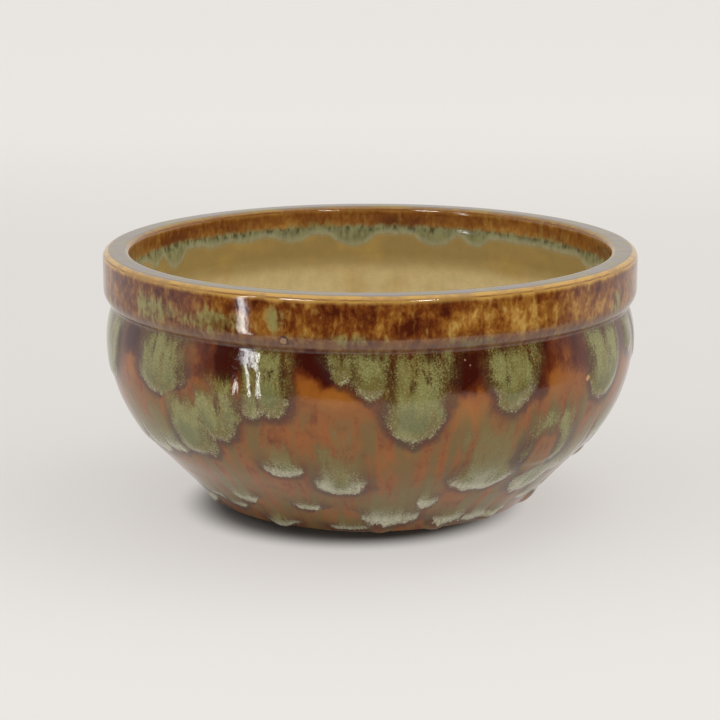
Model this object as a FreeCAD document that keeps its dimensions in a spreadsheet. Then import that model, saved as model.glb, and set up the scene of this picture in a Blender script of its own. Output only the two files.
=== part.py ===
# A ceramic cachepot: a stoneware bowl with a banded rim, its two coats of glaze, and the runs and drops
# of green glaze that stand proud of them. Sizes are in millimetres and angles in degrees. The origin is
# on the table under the middle of the pot, and +Z is up. A turn of 0 is the front, which faces -Y, and
# a turn of 90 is the right-hand side, which faces +X.
import FreeCAD, Part
import math
import os
import re
import Sketcher

# The driving dimensions: alias, value and what it measures
SIZES = (
    ("clay_height", 131.0, "table to the rim's top, bare clay"),
    ("rim_radius", 134.0, "outside of the rim's band"),
    ("rim_round", 2.5, "outer top edge of the rim"),
    ("rim_width", 11.7, "outside of the band to the inside of the lip"),
    ("lip_round", 2.0, "inner top edge of the rim"),
    ("lip_blend", 12.0, "where the lip's inside eases out into the belly"),
    ("band_drop", 15.0, "rim's top down to where the band turns under"),
    ("band_round", 9.0, "the band's turned-under edge"),
    ("crease_round", 3.5, "hollow of the crease under the band"),
    ("belly_inset", 1.4, "outside of the band in to the belly at its widest"),
    ("belly_drop", 42.5, "rim's top down to the belly's widest ring"),
    ("shoulder_arc", 42.0, "profile radius of the belly above that ring"),
    ("belly_turn", 30.2, "that ring down to where the leaning wall would meet the upright, unrounded"),
    ("wall", 7.5, "thickness of the belly's clay"),
    ("floor_height", 12.0, "table to the inside floor"),
    ("floor_round", 18.0, "inside corner between the wall and the floor"),
    ("foot_inset", 68.0, "outside of the band in to the outside of the foot ring"),
    ("foot_width", 9.0, "width of the foot ring"),
    ("foot_height", 4.5, "table to the underside of the wall"),
    ("foot_edge", 1.0, "softened edges of the foot ring"),
    ("foot_recess", 4.0, "hollow inside the foot ring"),
    ("heel_ledge", 11.6, "foot ring out to where the underside turns up"),
    ("heel_round", 3.0, "turn from the lower wall to the underside"),
    ("amber_coat", 1.0, "thickness of the amber glaze"),
    ("liner_coat", 1.0, "thickness of the liner glaze"),
    ("fringe_coat", 1.0, "thickness of the green fringe under the lip"),
    ("seam_drop", 10.5, "rim's top down to where the two coats meet"),
    ("fringe_depth", 9.0, "seam down to the lower edge of the green fringe"),
    ("glaze_line", 6.0, "table to the lower edge of the amber glaze"),
    ("run_length", 13.0, "half length of a usual run"),
    ("run_width", 14.0, "half width of a usual run"),
    ("run_proud", 1.2, "how far a run stands off the coat"),
    ("run_core", 20.0, "half depth of the ellipsoid that a run is cut from"),
    ("drip_length", 6.5, "half length of a usual drip at the lower edge"),
    ("drip_width", 6.0, "half width of a usual drip"),
    ("drip_proud", 2.0, "how far a drip stands off the coat"),
    ("drip_core", 5.0, "half depth of the ellipsoid that a drip is cut from"),
)

# Sizes that follow from the driving ones. The leaning wall comes down on the heel, and the arc above it
# rounds it into the belly's upright.
WORKED_OUT = {
    "lip_radius": "(rim_radius - rim_width)",
    "belly_radius": "(rim_radius - belly_inset)",
    "belly_height": "(clay_height - belly_drop)",
    "foot_radius": "(rim_radius - foot_inset)",
    "heel_radius": "(foot_radius + heel_ledge)",
    "taper_across": "(belly_radius - heel_radius)",
    "taper_up": "(belly_height - belly_turn - foot_height - heel_round)",
    "taper_angle": "(atan(taper_across / taper_up)"
                   " - asin(heel_round / sqrt(taper_across^2 + taper_up^2)))",
    "belly_arc": "(belly_turn / tan(taper_angle / 2))",
}

# Heights where the coats end
SEAM = "clay_height - seam_drop"
FRINGE_EDGE = "clay_height - seam_drop - fringe_depth"
GLAZE_END = "glaze_line - amber_coat * sin(taper_angle)"

# Runs on the shoulder: turn, share of the way down from the crease to the glaze line, and how many times
# the length and the width of a usual run
SHOULDER_RUNS = (
    (-71, 0.147, 1.00, 1.14), (-50, 0.147, 1.00, 1.00), (-20, 0.161, 1.00, 0.64), (5, 0.303, 1.23, 1.43),
    (28.5, 0.154, 1.00, 1.07), (57, 0.165, 1.00, 1.21), (84, 0.147, 1.00, 0.86), (104, 0.253, 1.08, 1.07),
    (126, 0.154, 1.00, 0.93), (150, 0.291, 1.23, 1.29), (176, 0.154, 1.00, 1.00),
    (200, 0.240, 1.08, 0.93), (222, 0.147, 1.00, 1.00), (246, 0.278, 1.15, 1.21),
    (268, 0.154, 1.00, 0.79),
)
# Drops on the round of the belly and below it, in the same order
BELLY_RUNS = (
    (-68, 0.607, 0.92, 1.00), (-42, 0.486, 1.15, 1.64), (-20, 0.597, 0.69, 0.64), (-7, 0.633, 0.77, 0.79),
    (28.5, 0.575, 1.15, 1.14), (47, 0.617, 0.92, 0.79), (66, 0.586, 1.00, 0.71), (94, 0.592, 0.85, 0.86),
    (116, 0.509, 1.08, 1.21), (140, 0.617, 0.77, 0.79), (166, 0.586, 1.00, 1.07),
    (190, 0.617, 0.77, 0.71), (213, 0.549, 1.08, 1.21), (237, 0.617, 0.77, 0.79),
    (261, 0.597, 0.92, 0.93), (-83, 0.817, 0.54, 0.57), (-56, 0.832, 0.46, 0.71),
    (-38, 0.823, 0.62, 0.71), (-17, 0.848, 0.46, 0.64), (5, 0.878, 0.46, 0.93), (26, 0.835, 0.46, 0.57),
    (56, 0.835, 0.54, 0.64), (79, 0.780, 0.54, 0.50), (102, 0.848, 0.54, 0.71), (127, 0.817, 0.62, 0.79),
    (152, 0.866, 0.46, 0.86), (178, 0.829, 0.62, 0.64), (202, 0.854, 0.46, 0.79),
    (224, 0.823, 0.54, 0.57), (249, 0.859, 0.54, 0.86),
)
# Drips at the lower edge of the amber glaze, in the same order
FOOT_DRIPS = (
    (-68, 0.985, 0.92, 1.17), (-31, 0.985, 0.92, 1.00), (3, 0.985, 1.08, 1.00), (22, 0.982, 0.92, 0.83),
    (44, 0.985, 0.92, 1.00), (70, 0.982, 1.08, 1.17), (96, 0.985, 0.92, 0.83), (131, 0.982, 1.08, 1.17),
    (160, 0.985, 0.92, 1.00), (187, 0.982, 1.08, 1.00), (214, 0.985, 0.92, 1.17),
    (243, 0.985, 0.92, 0.83), (270, 0.982, 1.08, 1.00),
)

doc = FreeCAD.newDocument("cachepot")
sheet = doc.addObject("Spreadsheet::Sheet", "sizes")
for row, (alias, number, note) in enumerate(SIZES, start=1):
    sheet.set(f"A{row}", note)
    sheet.set(f"B{row}", str(number))
    sheet.setAlias(f"B{row}", alias)
doc.recompute()

ALIASES = re.compile(r"\b(" + "|".join(alias for alias, _, _ in SIZES) + r")\b")
H_AXIS, V_AXIS = range(-1, -3, -1)
START, END, CENTRE = range(1, 4)
ORIGIN = (H_AXIS, START)


def spelled_out(formula):
    """Puts the driving dimensions in place of the sizes that follow from them."""
    found = [name for name in WORKED_OUT if re.search(rf"\b{name}\b", formula)]
    for name in found:
        formula = re.sub(rf"\b{name}\b", WORKED_OUT[name], formula)
    return spelled_out(formula) if found else formula


def bound(formula):
    """Turns a formula in plain names into one that reads the sheet."""
    return ALIASES.sub(r"<<sizes>>.\1", spelled_out(formula))


def value(formula):
    """Works out a formula from the sheet."""
    return float(sheet.evalExpression(spelled_out(formula)))


class Pen:
    """Draws lines and arcs in a sketch and ties their sizes to the sheet."""

    def __init__(self, body, name):
        plane = next(item for item in body.Origin.OriginFeatures if item.Role == "XZ_Plane")
        self.sketch = body.newObject("Sketcher::SketchObject", name)
        self.sketch.AttachmentSupport = (plane, [""])
        self.sketch.MapMode = "FlatFace"
        self.count = 0

    def line(self, start, end):
        """Adds a line between two points, each a radius and a height."""
        ends = [FreeCAD.Vector(point[0], point[1], 0) for point in (start, end)]
        return self.sketch.addGeometry(Part.LineSegment(*ends), False)

    def arc(self, centre, radius, first, last):
        """Adds an arc that runs from one angle up to another, and ties its radius."""
        circle = Part.Circle(FreeCAD.Vector(*centre, 0), FreeCAD.Vector(0, 0, 1), value(radius))
        geometry = Part.ArcOfCircle(circle, math.radians(first), math.radians(last))
        index = self.sketch.addGeometry(geometry, False)
        self.tie(radius, "Radius", index)
        return index

    def fix(self, kind, *where):
        """Adds a constraint that has no size."""
        self.sketch.addConstraint(Sketcher.Constraint(kind, *where))

    def tie(self, formula, kind, *where):
        """Adds a constraint whose size is a formula of the sheet."""
        size = value(formula)
        if kind == "Angle":
            size = math.radians(size)
        index = self.sketch.addConstraint(Sketcher.Constraint(kind, *where, size))
        self.count += 1
        self.sketch.renameConstraint(index, f"size_{self.count}")
        self.sketch.setExpression(f"Constraints.size_{self.count}", bound(formula))

    def place(self, index, end, radius=None, height=None):
        """Ties a point of the outline to a radius and a height."""
        if radius:
            self.tie(radius, "DistanceX", *ORIGIN, index, end)
        if height:
            self.tie(height, "DistanceY", *ORIGIN, index, end)

    def smooth(self, one, one_end, other, other_end):
        """Joins two ends so that the outline runs on smoothly."""
        self.fix("Tangent", one, one_end, other, other_end)

    def join(self, one, one_end, other, other_end):
        """Joins two ends at a corner."""
        self.fix("Coincident", one, one_end, other, other_end)


# Centres of the outline's arcs. A coat of glaze is parallel to the clay, so its arcs share them.
TAPER = math.radians(value("taper_angle"))
RIM_CENTRE = (value("rim_radius - rim_round"), value("clay_height - rim_round"))
LIP_CENTRE = (value("lip_radius + lip_round"), value("clay_height - lip_round"))
BAND_CENTRE = (value("rim_radius - band_round"), value("clay_height - band_drop"))
SHOULDER_CENTRE = (value("belly_radius - shoulder_arc"), value("belly_height"))
BELLY_CENTRE = (value("belly_radius - belly_arc"), value("belly_height"))


def crease_centre():
    """The crease's arc touches the band's turned edge above it and the shoulder below it."""
    reach_band = value("band_round + crease_round")
    reach_shoulder = value("shoulder_arc + crease_round")
    across = BAND_CENTRE[0] - SHOULDER_CENTRE[0]
    up = BAND_CENTRE[1] - SHOULDER_CENTRE[1]
    apart = math.hypot(across, up)
    along = (reach_shoulder ** 2 - reach_band ** 2 + apart ** 2) / (2 * apart)
    aside = math.sqrt(reach_shoulder ** 2 - along ** 2)
    return (SHOULDER_CENTRE[0] + (along * across + aside * up) / apart,
            SHOULDER_CENTRE[1] + (along * up - aside * across) / apart)


def beside_taper(height, reach):
    """A centre at this height whose arc, inside a wall that far from the belly's centre, touches it."""
    across = (reach + (height - BELLY_CENTRE[1]) * math.sin(TAPER)) / math.cos(TAPER)
    return (BELLY_CENTRE[0] + across, height)


CREASE_CENTRE = crease_centre()
BLEND_ACROSS = value("lip_radius + lip_blend")
BLEND_REACH = value("shoulder_arc - wall + lip_blend")
BLEND_UP = math.sqrt(BLEND_REACH ** 2 - (BLEND_ACROSS - SHOULDER_CENTRE[0]) ** 2)
BLEND_CENTRE = (BLEND_ACROSS, SHOULDER_CENTRE[1] + BLEND_UP)
FLOOR_CENTRE = beside_taper(value("floor_height + floor_round"), value("belly_arc - wall - floor_round"))
HEEL_CENTRE = beside_taper(value("foot_height + heel_round"), value("belly_arc - heel_round"))


def on_arc(centre, radius, angle):
    """The point of an arc at an angle in degrees."""
    return (centre[0] + radius * math.cos(math.radians(angle)),
            centre[1] + radius * math.sin(math.radians(angle)))


def bearing(start, end):
    """The angle in degrees from one point to another."""
    return math.degrees(math.atan2(end[1] - start[1], end[0] - start[0]))


def draw_arcs_at_belly(pen, offset, shoulder_last, low):
    """Draws the two arcs that meet upright at the belly's widest ring, and the leaning wall down to low."""
    lean = value("taper_angle")
    shoulder = pen.arc(SHOULDER_CENTRE, f"shoulder_arc {offset}", 0, shoulder_last)
    belly = pen.arc(BELLY_CENTRE, f"belly_arc {offset}", -lean, 0)
    pen.place(belly, END, f"belly_radius {offset}", "belly_height")
    pen.fix("Horizontal", belly, CENTRE, belly, END)
    pen.join(shoulder, START, belly, END)
    pen.fix("Horizontal", shoulder, CENTRE, shoulder, START)
    top = on_arc(BELLY_CENTRE, value(f"belly_arc {offset}"), -lean)
    taper = pen.line((top[0] - (top[1] - low) * math.tan(TAPER), low), top)
    pen.smooth(taper, END, belly, START)
    pen.tie("90deg - taper_angle", "Angle", taper)
    return shoulder, taper


def draw_outside(pen, coat, low):
    """Draws the rim's outer edge, the band, the crease, the belly and the lower wall down to low."""
    band_angle = bearing(BAND_CENTRE, CREASE_CENTRE)
    shoulder_angle = bearing(SHOULDER_CENTRE, CREASE_CENTRE)
    rim = pen.arc(RIM_CENTRE, f"rim_round + {coat}", 0, 90)
    pen.place(rim, CENTRE, "rim_radius - rim_round", "clay_height - rim_round")
    turn = pen.arc(BAND_CENTRE, f"band_round + {coat}", band_angle, 0)
    pen.place(turn, CENTRE, "rim_radius - band_round", "clay_height - band_drop")
    face = value(f"rim_radius + {coat}")
    band = pen.line((face, RIM_CENTRE[1]), (face, BAND_CENTRE[1]))
    pen.smooth(band, START, rim, START)
    pen.smooth(band, END, turn, END)
    shoulder, taper = draw_arcs_at_belly(pen, f"+ {coat}", shoulder_angle, low)
    crease = pen.arc(CREASE_CENTRE, f"crease_round - {coat}", band_angle + 180, shoulder_angle + 180)
    pen.smooth(crease, START, turn, START)
    pen.smooth(crease, END, shoulder, END)
    return rim, taper


def draw_rim_top(pen, coat, rim):
    """Draws the lip's inner edge and the flat of the rim, up to the rim's outer edge."""
    lip = pen.arc(LIP_CENTRE, f"lip_round + {coat}", 90, 180)
    pen.place(lip, CENTRE, "lip_radius + lip_round", "clay_height - lip_round")
    level = value(f"clay_height + {coat}")
    flat = pen.line((LIP_CENTRE[0], level), (RIM_CENTRE[0], level))
    pen.smooth(flat, START, lip, START)
    pen.smooth(flat, END, rim, END)
    return lip


def draw_inside(pen, coat, top):
    """Draws the lip's inside from top, its ease into the belly, the inner wall and the floor to the axis."""
    face = value(f"lip_radius - {coat}")
    blend_angle = bearing(SHOULDER_CENTRE, BLEND_CENTRE)
    lip_wall = pen.line((face, BLEND_CENTRE[1]), (face, top))
    blend = pen.arc(BLEND_CENTRE, f"lip_blend + {coat}", 180, 180 + blend_angle)
    pen.place(blend, CENTRE, "lip_radius + lip_blend")
    pen.smooth(lip_wall, START, blend, START)
    low = on_arc(FLOOR_CENTRE, value(f"floor_round - {coat}"), -value("taper_angle"))[1]
    shoulder, taper = draw_arcs_at_belly(pen, f"- wall - {coat}", blend_angle, low)
    pen.smooth(blend, END, shoulder, END)
    corner = pen.arc(FLOOR_CENTRE, f"floor_round - {coat}", -90, -value("taper_angle"))
    pen.smooth(corner, END, taper, START)
    level = value(f"floor_height + {coat}")
    floor = pen.line((0, level), (FLOOR_CENTRE[0], level))
    pen.fix("Horizontal", floor)
    pen.fix("PointOnObject", floor, START, V_AXIS)
    pen.place(floor, START, height=f"floor_height + {coat}")
    pen.smooth(floor, END, corner, START)
    return lip_wall, floor


def revolve(body, pen):
    """Turns a finished sketch about the pot's axis."""
    turned = body.newObject("PartDesign::Revolution", body.Name + "_turned")
    turned.Profile = pen.sketch
    turned.ReferenceAxis = (pen.sketch, ["V_Axis"])
    turned.Angle = 360
    doc.recompute()
    return turned


def make_clay_body():
    """The bowl: foot ring, leaning lower wall, belly, crease, banded rim, lip and flat floor."""
    body = doc.addObject("PartDesign::Body", "clay_body")
    pen = Pen(body, "clay_profile")
    heel_top = on_arc(HEEL_CENTRE, value("heel_round"), -value("taper_angle"))[1]
    rim, taper = draw_outside(pen, "0", heel_top)
    lip = draw_rim_top(pen, "0", rim)
    lip_wall, floor = draw_inside(pen, "0", LIP_CENTRE[1])
    pen.smooth(lip_wall, END, lip, END)

    heel = pen.arc(HEEL_CENTRE, "heel_round", -90, -value("taper_angle"))
    pen.smooth(heel, END, taper, START)
    outer, inner = value("foot_radius"), value("foot_radius - foot_width")
    under, hollow = value("foot_height"), value("foot_recess")
    underside = pen.line((outer, under), (HEEL_CENTRE[0], under))
    pen.fix("Horizontal", underside)
    pen.place(underside, START, "foot_radius", "foot_height")
    pen.smooth(underside, END, heel, START)
    foot_outside = pen.line((outer, 0), (outer, under))
    pen.fix("Vertical", foot_outside)
    pen.join(foot_outside, END, underside, START)
    tread = pen.line((inner, 0), (outer, 0))
    pen.join(tread, END, foot_outside, START)
    pen.fix("PointOnObject", tread, END, H_AXIS)
    pen.fix("PointOnObject", tread, START, H_AXIS)
    pen.place(tread, START, "foot_radius - foot_width")
    foot_inside = pen.line((inner, 0), (inner, hollow))
    pen.fix("Vertical", foot_inside)
    pen.join(foot_inside, START, tread, START)
    recess = pen.line((0, hollow), (inner, hollow))
    pen.fix("Horizontal", recess)
    pen.join(recess, END, foot_inside, END)
    pen.fix("PointOnObject", recess, START, V_AXIS)
    pen.place(recess, START, height="foot_recess")
    axis = pen.line((0, hollow), (0, value("floor_height")))
    pen.join(axis, START, recess, START)
    pen.join(axis, END, floor, START)

    bowl = revolve(body, pen)
    tread_edges = [f"Edge{number}" for number, edge in enumerate(bowl.Shape.Edges, start=1)
                   if abs(edge.BoundBox.ZMax) < 1e-6]
    softened = body.newObject("PartDesign::Fillet", "foot_softened")
    softened.Base = (bowl, tread_edges)
    softened.setExpression("Radius", bound("foot_edge"))
    return body


def make_amber_glaze():
    """The brown coat, from the seam inside the lip, over the rim and down to the glaze line."""
    body = doc.addObject("PartDesign::Body", "amber_glaze")
    pen = Pen(body, "amber_profile")
    seam = value(SEAM)
    lines = []
    for coat in ("0", "amber_coat"):
        rim, taper = draw_outside(pen, coat, value(f"glaze_line - {coat} * sin(taper_angle)"))
        lip = draw_rim_top(pen, coat, rim)
        face = value(f"lip_radius - {coat}")
        lip_wall = pen.line((face, seam), (face, LIP_CENTRE[1]))
        pen.fix("Vertical", lip_wall)
        pen.smooth(lip_wall, END, lip, END)
        pen.place(lip_wall, START, height=SEAM)
        lines.append((lip_wall, taper))
    (clay_lip, clay_taper), (glaze_lip, glaze_taper) = lines
    seam_face = pen.line((value("lip_radius"), seam), (value("lip_radius - amber_coat"), seam))
    pen.join(seam_face, START, clay_lip, START)
    pen.join(seam_face, END, glaze_lip, START)
    pen.place(clay_taper, START, height="glaze_line")
    edge_start, edge_end = (pen.sketch.Geometry[index].StartPoint for index in (clay_taper, glaze_taper))
    edge_face = pen.line((edge_start.x, edge_start.y), (edge_end.x, edge_end.y))
    pen.join(edge_face, START, clay_taper, START)
    pen.join(edge_face, END, glaze_taper, START)
    pen.fix("Perpendicular", edge_face, clay_taper)
    revolve(body, pen)
    return body


def make_liner_glaze():
    """The khaki coat on the floor and the inner wall, up to the lower edge of the green fringe."""
    body = doc.addObject("PartDesign::Body", "liner_glaze")
    pen = Pen(body, "liner_profile")
    edge = value(FRINGE_EDGE)
    clay_lip, clay_floor = draw_inside(pen, "0", edge)
    glaze_lip, glaze_floor = draw_inside(pen, "liner_coat", edge)
    pen.fix("Vertical", clay_lip)
    pen.fix("Vertical", glaze_lip)
    pen.place(clay_lip, END, height=FRINGE_EDGE)
    edge_face = pen.line((value("lip_radius"), edge), (value("lip_radius - liner_coat"), edge))
    pen.fix("Horizontal", edge_face)
    pen.join(edge_face, START, clay_lip, END)
    pen.join(edge_face, END, glaze_lip, END)
    axis = pen.line((0, value("floor_height")), (0, value("floor_height + liner_coat")))
    pen.join(axis, START, clay_floor, START)
    pen.join(axis, END, glaze_floor, START)
    revolve(body, pen)
    return body


def make_lip_fringe():
    """The green glaze that ran a little way down inside the lip, between the amber and the khaki."""
    body = doc.addObject("PartDesign::Body", "lip_fringe")
    pen = Pen(body, "fringe_profile")
    outer, inner = value("lip_radius"), value("lip_radius - fringe_coat")
    low, high = value(FRINGE_EDGE), value(SEAM)
    under = pen.line((inner, low), (outer, low))
    back = pen.line((outer, low), (outer, high))
    over = pen.line((outer, high), (inner, high))
    face = pen.line((inner, high), (inner, low))
    for side, following in ((under, back), (back, over), (over, face), (face, under)):
        pen.join(side, END, following, START)
    for level, upright in ((under, back), (over, face)):
        pen.fix("Horizontal", level)
        pen.fix("Vertical", upright)
    pen.place(back, START, "lip_radius", FRINGE_EDGE)
    pen.place(face, START, "lip_radius - fringe_coat", SEAM)
    revolve(body, pen)
    return body


def make_glazed_outside(clay_body):
    """The filled form inside the amber coat's outer face, which the outer runs are cut back to."""
    body = doc.addObject("PartDesign::Body", "glazed_outside")
    pen = Pen(body, "glazed_outside_profile")
    rim, taper = draw_outside(pen, "amber_coat", value(GLAZE_END))
    top, low = value("clay_height + amber_coat"), value("glaze_line")
    lid = pen.line((0, top), (RIM_CENTRE[0], top))
    pen.fix("PointOnObject", lid, START, V_AXIS)
    pen.fix("Horizontal", lid)
    pen.smooth(lid, END, rim, END)
    pen.place(taper, START, height=GLAZE_END)
    base = pen.line((0, low), (HEEL_CENTRE[0], low))
    pen.fix("Horizontal", base)
    pen.fix("PointOnObject", base, START, V_AXIS)
    pen.join(base, END, taper, START)
    axis = pen.line((0, low), (0, top))
    pen.join(axis, START, base, START)
    pen.join(axis, END, lid, START)
    revolve(body, pen)
    whole = doc.addObject("Part::Fuse", "outside_to_table")
    whole.Base, whole.Tool = body, clay_body
    return whole


def half_axis(half_span, proud, core, curve):
    """Half axis of an ellipsoid that stands proud of a wall over a span; curve is the wall's fall."""
    return f"{half_span} / sqrt(1 - (1 - ({proud} + {curve}) / {core})^2)"


def fall(half_span, radius):
    """How far a round wall falls away over half a span."""
    return f"{half_span}^2 / (2 * ({radius}))"


def wall_at(share):
    """The glazed wall's radius and height, its tilt and its profile's arc, a share of the way down it."""
    crease = math.radians(bearing(SHOULDER_CENTRE, CREASE_CENTRE))
    ring = value("belly_height")
    top = ring + value("shoulder_arc + amber_coat") * math.sin(crease)
    low = value(GLAZE_END)
    height = top + share * (low - top)
    lean = value("taper_angle")
    taper_top = on_arc(BELLY_CENTRE, value("belly_arc + amber_coat"), -lean)
    if height < taper_top[1]:
        return (taper_top[0] - (taper_top[1] - height) * math.tan(TAPER), height), -lean, None
    arc, centre = ("shoulder_arc + amber_coat", SHOULDER_CENTRE)
    if height < ring:
        arc, centre = ("belly_arc + amber_coat", BELLY_CENTRE)
    tilt = math.degrees(math.asin((height - ring) / value(arc)))
    return on_arc(centre, value(arc), tilt), tilt, arc


def drop(name, turn, tilt, seat, proud, core, half_length, half_width):
    """An ellipsoid whose outermost point stands proud of a wall that faces turn and tilt."""
    shape = doc.addObject("Part::Ellipsoid", name)
    shape.Angle1, shape.Angle2, shape.Angle3 = -90, 90, 360
    for radius, formula in (("Radius1", half_length), ("Radius2", core), ("Radius3", half_width)):
        shape.setExpression(radius, bound(formula))
    upright = FreeCAD.Vector(0, 0, 1)
    facing = FreeCAD.Rotation(upright, turn - 90)
    outward = facing.multiply(FreeCAD.Rotation(FreeCAD.Vector(0, 1, 0), -tilt))
    sunk = outward.multVec(FreeCAD.Vector(value(f"{core} - {proud}"), 0, 0))
    middle = facing.multVec(FreeCAD.Vector(seat[0], 0, seat[1])) - sunk
    seam_inside = FreeCAD.Rotation(upright, 180)
    shape.Placement = FreeCAD.Placement(middle, outward.multiply(seam_inside))
    return shape


def wall_drop(name, kind, turn, share, longer, wider):
    """A run or a drip on the outer wall, so many times as long and as wide as a usual one."""
    seat, tilt, arc = wall_at(share)
    half_length, half_width = f"({longer} * {kind}_length)", f"({wider} * {kind}_width)"
    proud, core = f"{kind}_proud", f"{kind}_core"
    along = fall(half_length, arc) if arc else "0"
    across = fall(half_width, "belly_radius + amber_coat")
    return drop(name, turn, tilt, seat, proud, core,
                half_axis(half_length, proud, core, along),
                half_axis(half_width, proud, core, across))


def group(name, drops, outside):
    """Cuts each drop back to the pot's glazed outside, and groups what is left."""
    trimmed = []
    for shape in drops:
        kept = doc.addObject("Part::Cut", shape.Name + "_trimmed")
        kept.Base, kept.Tool = shape, outside
        trimmed.append(kept)
    whole = doc.addObject("Part::Compound", name)
    whole.Links = trimmed
    return whole


def make_runs(outside):
    """The three groups of runs and drips."""
    kinds = (("shoulder_run", SHOULDER_RUNS, "run"), ("belly_run", BELLY_RUNS, "run"),
             ("foot_drip", FOOT_DRIPS, "drip"))
    groups = []
    for name, runs, kind in kinds:
        drops = [wall_drop(f"{name}_{number}", kind, *run) for number, run in enumerate(runs)]
        groups.append(group(f"{name}s", drops, outside))
    return groups


def write(parts):
    """Checks every object of the document and writes each sub-part."""
    doc.recompute()
    failed = [item.Name for item in doc.Objects if {"Invalid", "Error"} & set(item.State)]
    if failed:
        raise RuntimeError(f"failed objects: {failed}")
    os.makedirs("parts", exist_ok=True)
    for part in parts:
        if part.Shape.isNull() or not part.Shape.isValid():
            raise RuntimeError(f"{part.Label} has no valid shape")
        part.Shape.exportStep(f"parts/{part.Label}.step")
        print(f"{part.Label}: {len(part.Shape.Solids)} solids, {part.Shape.Volume / 1000:.2f} cm3")


clay = make_clay_body()
coats = [make_amber_glaze(), make_lip_fringe(), make_liner_glaze()]
runs = make_runs(make_glazed_outside(clay))
write([clay] + coats + runs)
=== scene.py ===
"""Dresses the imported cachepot: a running glaze outside, a khaki liner inside, bare clay below."""
import math

import bpy
import numpy as np
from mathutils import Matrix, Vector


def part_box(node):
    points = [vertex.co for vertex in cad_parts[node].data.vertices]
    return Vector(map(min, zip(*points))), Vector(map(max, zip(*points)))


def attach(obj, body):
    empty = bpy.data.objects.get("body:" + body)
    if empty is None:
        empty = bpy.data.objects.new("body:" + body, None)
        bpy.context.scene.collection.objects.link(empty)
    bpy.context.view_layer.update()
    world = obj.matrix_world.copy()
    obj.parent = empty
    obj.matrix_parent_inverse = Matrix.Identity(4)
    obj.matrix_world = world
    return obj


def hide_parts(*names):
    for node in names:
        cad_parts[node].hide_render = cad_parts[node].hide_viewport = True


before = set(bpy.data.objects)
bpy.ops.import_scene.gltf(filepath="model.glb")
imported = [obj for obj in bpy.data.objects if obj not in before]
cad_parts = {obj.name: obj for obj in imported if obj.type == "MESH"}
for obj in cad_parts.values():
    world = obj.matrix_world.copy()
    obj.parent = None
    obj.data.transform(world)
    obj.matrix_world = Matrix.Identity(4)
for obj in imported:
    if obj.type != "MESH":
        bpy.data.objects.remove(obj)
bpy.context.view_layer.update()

bl_info = {
    "name": "Glazed cachepot",
    "version": (1, 0, 0),
    "blender": (4, 5, 0),
    "location": "View3D > Sidebar > Cachepot",
    "description": "Models the glazes of a stoneware cachepot over its packed clay body, and lights it",
    "category": "Object",
}

MM = 0.001
AMBER_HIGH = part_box("amber_glaze")[1]

# Green runs from the crease: turn from the front in degrees, height where they start, height of the tip
# and half width in millimetres, length of the tip in half widths, and how much wider they start. A turn
# of 90 is the right-hand side.
SHOULDER_RUNS = (
    (-79, 107, 70, 31, 0.8, 0), (-48.5, 107, 75.5, 17, 0.7, 0.1), (-34, 84, 57, 13, 1.0, 0),
    (-31, 91, 65, 8, 1.0, 0.3), (-41.5, 80, 46.5, 13, 1.1, 0.2), (-20, 107, 72.5, 9.5, 1.0, 0.1),
    (-24.5, 98, 71, 6, 1.1, 0), (9, 107, 61.5, 12.5, 1.1, 0.65), (-5, 107, 93, 9, 1.1, 0.3),
    (0.5, 107, 84.5, 10, 1.1, 0.3), (43, 72, 39, 17, 0.9, 0), (30, 107, 75, 13, 1.7, 0.3),
    (58.5, 107, 70, 15, 1.2, 0.2), (73, 107, 86, 9, 1.1, 0), (84, 107, 76, 11, 1.2, 0.2),
    (104, 107, 64, 14, 1.1, 0.4), (113, 107, 84, 9, 1.2, 0.2), (126, 107, 77, 12, 1.4, 0.1),
    (150, 107, 59, 15, 1.1, 0.5), (160, 107, 82, 9, 1.2, 0.2), (176, 107, 75, 12, 1.5, 0.1),
    (200, 107, 66, 12, 1.1, 0.5), (209, 107, 85, 9, 1.2, 0.2), (222, 107, 76, 13, 1.5, 0.2),
    (246, 107, 60, 15, 1.1, 0.4), (255, 107, 84, 8, 1.2, 0.2), (266, 107, 78, 9, 1.1, 0.1),
)
# Green runs and drapes on the round of the belly, in the same order
BELLY_RUNS = (
    (-51, 72, 45, 15, 1.1, 0.2), (-58.5, 70, 41.5, 13, 1.1, 0.2), (-70, 66, 40, 13, 1.1, 0.2),
    (-81, 66, 34, 14, 1.1, 0.2), (-20, 66, 40.5, 10.5, 0.9, 0), (-7, 74, 30.8, 12, 0.8, 0),
    (28.5, 72, 30, 17, 0.9, 0.3), (46.5, 80, 22.5, 13, 1.2, 0.4), (56, 68, 31, 9, 1.2, 0.4),
    (66, 72, 44, 12, 1.1, 0.2), (76, 64, 34, 12, 1.1, 0.2), (94, 70, 38, 12, 0.9, 0.2),
    (116, 76, 44, 17, 1.0, 0.3), (128, 62, 36, 10, 1.0, 0.2), (140, 60, 33, 11, 0.9, 0.1),
    (166, 74, 36, 15, 1.0, 0.4), (178, 64, 40, 10, 1.1, 0.2), (190, 62, 32, 10, 0.8, 0),
    (213, 76, 40, 17, 1.0, 0.4), (226, 54, 30, 9, 0.9, 0.1), (237, 58, 34, 11, 0.8, 0),
    (261, 74, 36, 13, 1.1, 0.3),
)
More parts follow.
